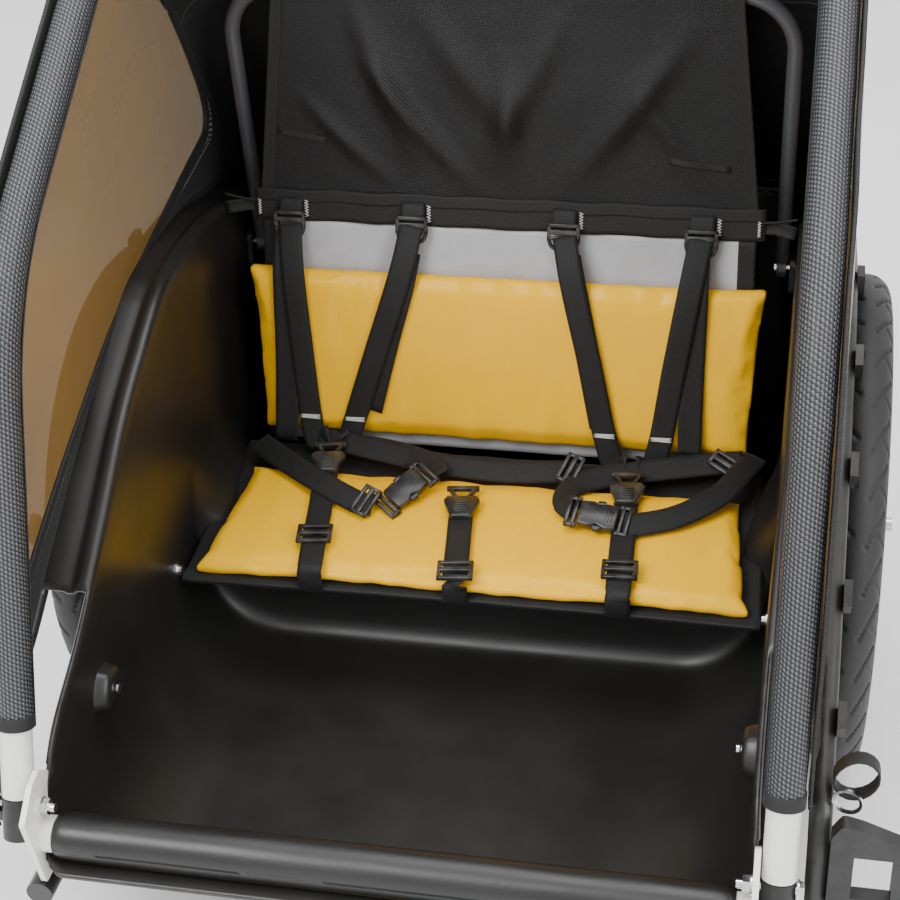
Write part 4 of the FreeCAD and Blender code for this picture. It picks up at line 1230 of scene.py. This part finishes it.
def make_shoulder_straps():
    down = (on_back(0, 0, 0) - on_back(0, 1, 0)).normalized()
    for name in ("right", "left"):
        parts, tacks = [], []
        for points in SHOULDER[name]:
            line = Line(shoulder_run(points, 8.5, TONGUES[name]))

            def facing(v):
                return BACK_OUT + SEAT_UP * max(0.0, v - 0.72) * 4

            parts.append(webbing(line, facing, STRAP_WIDE, 0.0015, -0.0006))
            spot = on_back(*points[3], BACK_THICK + 9.6)
            tacks.append(bar_tack(spot, down, BACK_OUT, 0.022, 4, 0.0045))
        for points in TAILS[name]:
            parts.append(webbing(shoulder_run(points, 6.0), BACK_OUT, STRAP_WIDE, 0.0015, 0.0008))
        whole = merged(parts + tacks, [0] * len(parts) + [1] * len(tacks))
        piece("shoulder_webbing_" + name, whole, "webbing", "chassis", ["shoulder_straps_" + name],
              ["webbing", "white_thread"])


def make_ring_set():
    rings = []
    for x in RING_PLACES:
        up = on_back(0, 1, 0) - on_back(0, 0, 0)
        rings.append(laid(d_ring() + ladder_slide(0.034, 0.018, 0.003), on_back(x, 240, 9.5), up, BACK_OUT))
    piece("strap_ring_set", merged(rings), "buckle_plastic", "chassis", ["strap_rings"])


CROTCH_FRONTS = {"right": (-156, 246), "centre": (-8, 244), "left": (153, 246)}
SLIDE_SHARES = {"right": 0.40, "centre": 0.30, "left": 0.34}


def crotch_route(name):
    front, tongue = CROTCH_FRONTS[name], TONGUES[name]
    across = [front[0] + (tongue[0] - front[0]) * k / 4 for k in range(5)]
    backs = [front[1] + 6 + (tongue[1] - 14 - front[1]) * k / 4 for k in range(5)]
    start = [on_sling(front[0], *spot) for spot in ((-3, -7), (-6.5, 4), (-3, CUSHION_THICK + 4))]
    return start + [on_seat(x, y, 7 + 1.5 * (k % 2)) for k, (x, y) in enumerate(zip(across, backs))]


def make_crotch_straps():
    straps, slides, tongues = [], [], []
    for name in ("right", "centre", "left"):
        line = Line(crotch_route(name))

        def facing(v):
            front = max(0.0, 1 - v * 8)
            return SEAT_UP * (1 - front) + Vector((0, -1, 0.2)) * front

        straps.append(webbing(line, facing, STRAP_WIDE, 0.0016, -0.0004))
        share = SLIDE_SHARES[name]
        slides.append(laid(ladder_slide(0.036, 0.026, 0.0045), line.at(share) + SEAT_UP * 0.0008,
                           line.heading(share), SEAT_UP))
        end = line.at(0.985) + SEAT_UP * 0.001
        tongues.append(laid(latch_tongue(), end, line.heading(0.96), SEAT_UP))
    piece("crotch_webbing", merged(straps), "webbing", "chassis", ["crotch_straps"])
    piece("ladder_slides", merged(slides), "buckle_plastic", "chassis", ["strap_slides"])
    piece("latch_tongues", merged(tongues), "buckle_plastic", "chassis", ["harness_tongues"])


LAP_ROUTES = [
    [(-262, 446, 4), (-250, 432, 9), (-214, 400, 14), (-170, 370, 15), (-128, 348, 12), (-112, 346, 12)],
    [(-52, 402, 12), (-70, 424, 10), (-108, 442, 6), (-150, 452, 4), (-200, 460, 3)],
    [(-168, 452, 7), (-120, 440, 7), (-60, 428, 6), (10, 420, 8), (60, 424, 9), (84, 428, 8)],
    [(274, 474, 8), (262, 440, 16), (240, 396, 16), (200, 362, 13), (160, 346, 12), (148, 346, 13)],
    [(98, 356, 14), (84, 374, 11), (88, 402, 8), (110, 420, 7), (150, 436, 6), (230, 456, 9), (262, 462, 10)],
]
LAP_BUCKLES = [((-82, 372), (34, 44)), ((122, 352), (52, -8))]


def make_lap_belts():
    facing = SEAT_UP + Vector((0, -0.55, 0))
    runs = [webbing([on_seat(*p) for p in route], facing, STRAP_WIDE, 0.0015, -0.0008)
            for route in LAP_ROUTES]
    piece("lap_webbing", merged(runs), "webbing", "chassis", ["lap_belts"])
    buckles = []
    for (x, y), (dx, dy) in LAP_BUCKLES:
        heading = on_seat(x + dx, y + dy, 0) - on_seat(x, y, 0)
        buckles.append(laid(side_release(), on_seat(x, y, 11), heading, SEAT_UP + Vector((0, -0.4, 0))))
    for x, y, dx, dy in ((84, 426, 10, -4), (243, 452, 8, 14), (-120, 350, 12, -6)):
        heading = on_seat(x + dx, y + dy, 0) - on_seat(x, y, 0)
        buckles.append(laid(ladder_slide(0.034, 0.020, 0.004), on_seat(x, y, 12), heading,
                            SEAT_UP + Vector((0, -0.5, 0))))
    piece("release_buckles", merged(buckles), "buckle_plastic", "chassis", ["side_release_buckles"])


# ---------------------------------------------------------------- fabric cover and windows

# The roof, from the front hoop's crown over the rear hoop to the tub's tail: back, height.
ROOF = [(424, 929), (427, 940), (437, 947.5), (449, 946), (466, 926), (520, 836), (556, 766), (568, 750),
        (588, 722), (606, 698), (650, 612), (694, 530), (717, 486), (723, 466)]
FRONT_DROP, TAIL_DROP = 82, 16
SIDE_X = 340
# The side panel's edge, back and height: up the front leg, along the roof's fold, along the brim.
SIDE_EDGE = [(-74, 300), (-60, 400), (-32, 500), (0, 592), (40, 660), (110, 714), (240, 800), (365, 881),
             (408, 893), (455, 850), (530, 756), (600, 655), (640, 596), (662, 556), (690, 500), (701, 482),
             (660, 484), (600, 493), (527, 508), (420, 516), (322, 502), (208, 446), (127, 396), (40, 336),
             (-20, 308)]
WINDOW_EDGE = [(-42, 366), (-38, 430), (-14, 510), (20, 588), (62, 646), (118, 684), (240, 762), (340, 828),
               (396, 852), (440, 828), (520, 740), (585, 640), (607, 590), (600, 558), (560, 548), (505, 538),
               (450, 526), (316, 494), (237, 468), (175, 447), (115, 420), (60, 392), (20, 371), (-6, 358),
               (-28, 352)]


def roof_drop(v):
    """How far the roof rounds down into the side panels, from the front to the tail."""
    return FRONT_DROP + (TAIL_DROP - FRONT_DROP) * min(max(v, 0), 1)


def line_it(bm, inside):
    """Gives the faces that look towards a point inside the cabin the second finish, its black lining."""
    for face in bm.faces:
        face.material_index = 1 if face.normal.dot(inside - face.calc_center_median()) > 0 else 0


def make_roof():
    line = Line([(0, *p) for p in ROOF])

    def place(u, v):
        across = (u - 0.5) * 2
        heading = line.heading(v)
        inward = Vector((0, heading.z, -heading.y))
        fold = roof_drop(v)
        flat = SIDE_X + 1 - fold
        length = flat + fold * math.pi / 2
        run = abs(across) * length
        x, drop = run, 0.0
        if run > flat:
            angle = (run - flat) / fold
            x, drop = flat + fold * math.sin(angle), fold * (1 - math.cos(angle))
        held = min(abs(v - 0.13) / 0.1, abs(v - 0.52) / 0.12, 1.0)
        slack = 3.5 * noise.noise(Vector((u * 6, v * 5, 1))) + 4.0 * (1 - across * across)
        point = line.at(v) + inward * (drop + slack * held * (1 - abs(across) ** 4))
        point.x = math.copysign(x, across)
        return point * 0.001

    bm = thicken(skin(120, 90, place, (0.80, 0.64)), 0.0018)
    seams = []
    for v in (0.52, 0.985):
        seams.append(webbing([place(k / 40, v) for k in range(41)], Vector((0, 0.7, 0.7)), 0.014, 0.0026))
    binding = piece("roof_binding", merged(seams), "webbing", None)
    line_it(bm, at(0, 480, 500))
    obj = piece("roof_cloth", bm, "yellow_cloth", None, ["cover_back"], ["yellow_cloth", "black_cloth"])
    for soft in (obj, binding):
        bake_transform(soft)


def panel_point(side, back, height, out=0.0):
    wave = 1.6 * noise.noise(Vector((back * 0.009, height * 0.009, side)))
    return Vector((side * (SIDE_X + out + wave), back, height)) * 0.001


def make_side(side):
    name = "left" if side > 0 else "right"
    outer = Line([(0, *p) for p in SIDE_EDGE], closed=True)
    inner = Line([(0, *p) for p in WINDOW_EDGE], closed=True)

    def ring(u, v):
        spot = outer.at(u).lerp(inner.at(u), v)
        low = math.exp(-(v / 0.25) ** 2) * (1 if 0.62 < u < 0.98 else 0)
        return panel_point(side, spot.y, spot.z, 3.5 * low)

    def glass(u, v):
        middle = Vector((0, 262, 640))
        spot = inner.at(u).lerp(middle, v)
        return panel_point(side, spot.y, spot.z, 1.2 + 5.0 * math.sin(math.pi * v / 2))

    panel = skin(160, 12, ring, (2.4, 0.10))
    bmesh.ops.remove_doubles(panel, verts=panel.verts, dist=WELD_GAP)
    panel = thicken(panel, 0.0016)
    line_it(panel, at(0, 300, 600))
    window = skin(160, 24, glass, (2.0, 0.3))
    bmesh.ops.remove_doubles(window, verts=window.verts, dist=WIDE_WELD_GAP)
    window = thicken(window, 0.0007)
    edge = [ring(k / 120, 1.0) for k in range(121)]
    out = Vector((side, 0, 0))
    bindings = [webbing(Line(edge), out, 0.012, 0.0034, steps=240)]
    rim = [ring(k / 120, 0.0) for k in range(121)]
    bindings.append(webbing(Line(rim), out, 0.024, 0.0030, steps=240))
    threads = []
    for inset in (0.93, 0.88):
        row = Line([ring(k / 120, inset) - out * 0.0014 for k in range(121)])
        threads.append(stitches(row, -out, 0.0060, 0.00035))
    whole = merged(bindings + threads, [0] * len(bindings) + [1] * len(threads))
    trim = piece("side_trim_" + name, whole, "webbing", None, finishes=["webbing", "grey_cloth"])
    cloth = piece("side_cloth_" + name, panel, "yellow_cloth", None, ["side_cover_" + name],
                  ["yellow_cloth", "black_cloth"])
    glazing = piece("window_film_" + name, window, "amber_film", None, ["side_window_" + name])
    for soft in (trim, cloth, glazing):
        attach(soft, "chassis")
        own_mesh(soft)


def make_cover_roll():
    """The front cover, rolled up under the crown and held by two straps."""
    def uneven(u, v):
        return 0.0016 * noise.noise(Vector((v * 9, u * 3, 4))) + 0.0008 * math.sin(u * 2 * math.pi * 3)

    middle = at(-222, 402, 922), at(222, 402, 922)
    parts = [tube(Line(middle, smooth=False), 0.0178, 40, 90, uneven)]
    for x in (-150, 150):
        parts.append(tube(Line([at(x - 11, 402, 922), at(x + 11, 402, 922)], smooth=False), 0.0195, 40, 4))
    piece("rolled_cover", merged(parts, [0, 1, 1]), "black_cloth", "front_hoop_frame", ["front_cover_roll"],
          ["black_cloth", "webbing"])


# ---------------------------------------------------------------- wheels

WHEEL = {"left": at(371, 393, 250), "right": at(-371, 393, 250)}
TYRE_TREAD = 0.250
TYRE_BODY = 0.0235
TYRE_WRAP = math.radians(118)
SIPES = 36
SIPE_DEEP, RING_DEEP = 0.0030, 0.0012


def tyre_radius(across):
    """The tyre's outside: a round carcass, across from -1 to 1 over the tread and both walls."""
    angle = across * TYRE_WRAP
    return TYRE_TREAD - TYRE_BODY * (1 - math.cos(angle)) * 0.98, TYRE_BODY * math.sin(angle)


def sipe_depth(across, around):
    """Curved cuts that sweep back over each shoulder, and a pair of fine rings."""
    lean = abs(across) * 1.7 + 0.25 * math.sin(across * 4)
    phase = (around * SIPES + lean + (0.5 if across > 0 else 0)) % 1.0
    gap = min(phase, 1 - phase)
    cut = math.exp(-(gap / 0.055) ** 2) if 0.10 < abs(across) < 0.52 else 0.0
    short = (around * SIPES + 0.5 - abs(across) * 1.1) % 1.0
    if 0.34 < abs(across) < 0.60:
        cut += 0.8 * math.exp(-(min(short, 1 - short) / 0.05) ** 2)
    ring = math.exp(-((abs(across) - 0.66) / 0.012) ** 2)
    return SIPE_DEEP * min(cut, 1) + RING_DEEP * ring


def make_tyre(name):
    centre = WHEEL[name]

    def place(u, v):
        across = (u - 0.5) * 2
        radius, out = tyre_radius(across)
        radius -= sipe_depth(across, v)
        angle = 2 * math.pi * v
        return centre + Vector((out, radius * math.cos(angle), radius * math.sin(angle)))

    bm = skin(44, 900, place, (0.10, 1.571))
    bmesh.ops.remove_doubles(bm, verts=bm.verts, dist=WELD_GAP)
    bmesh.ops.bridge_loops(bm, edges=[e for e in bm.edges if e.is_boundary])
    bmesh.ops.recalc_face_normals(bm, faces=bm.faces)
    piece("road_tyre_" + name, bm, "tyre", "wheel_" + name, ["tyre_" + name])


# ---------------------------------------------------------------- corner trim


def make_hand_loop():
    """A loop of webbing through the pull ring, beside the wheel guard."""
    route = []
    for k in range(25):
        angle = 2 * math.pi * k / 24 - math.pi / 2
        size = 17.5 + 1.5 * math.sin(angle * 2)
        route.append(at(375 + size * math.cos(angle), -53 + 2 * math.sin(angle),
                        306 + size * math.sin(angle)))
    line = Line(route)

    def facing(v):
        angle = 2 * math.pi * v - math.pi / 2
        return Vector((math.cos(angle), 0, math.sin(angle)))

    piece("hand_loop_webbing", webbing(line, facing, 0.014, 0.0014), "webbing", "chassis", ["hand_loop"])


set_camera()
set_studio()
finish_cad_nodes()
make_tub()
make_foam()
make_sleeves()
make_wall_tabs()
make_seat()
make_sling()
make_back_panel()
make_back_band()
make_net()
make_shoulder_straps()
make_ring_set()
make_crotch_straps()
make_lap_belts()
make_roof()
make_side(1)
make_side(-1)
make_cover_roll()
make_tyre("left")
make_tyre("right")
make_hand_loop()
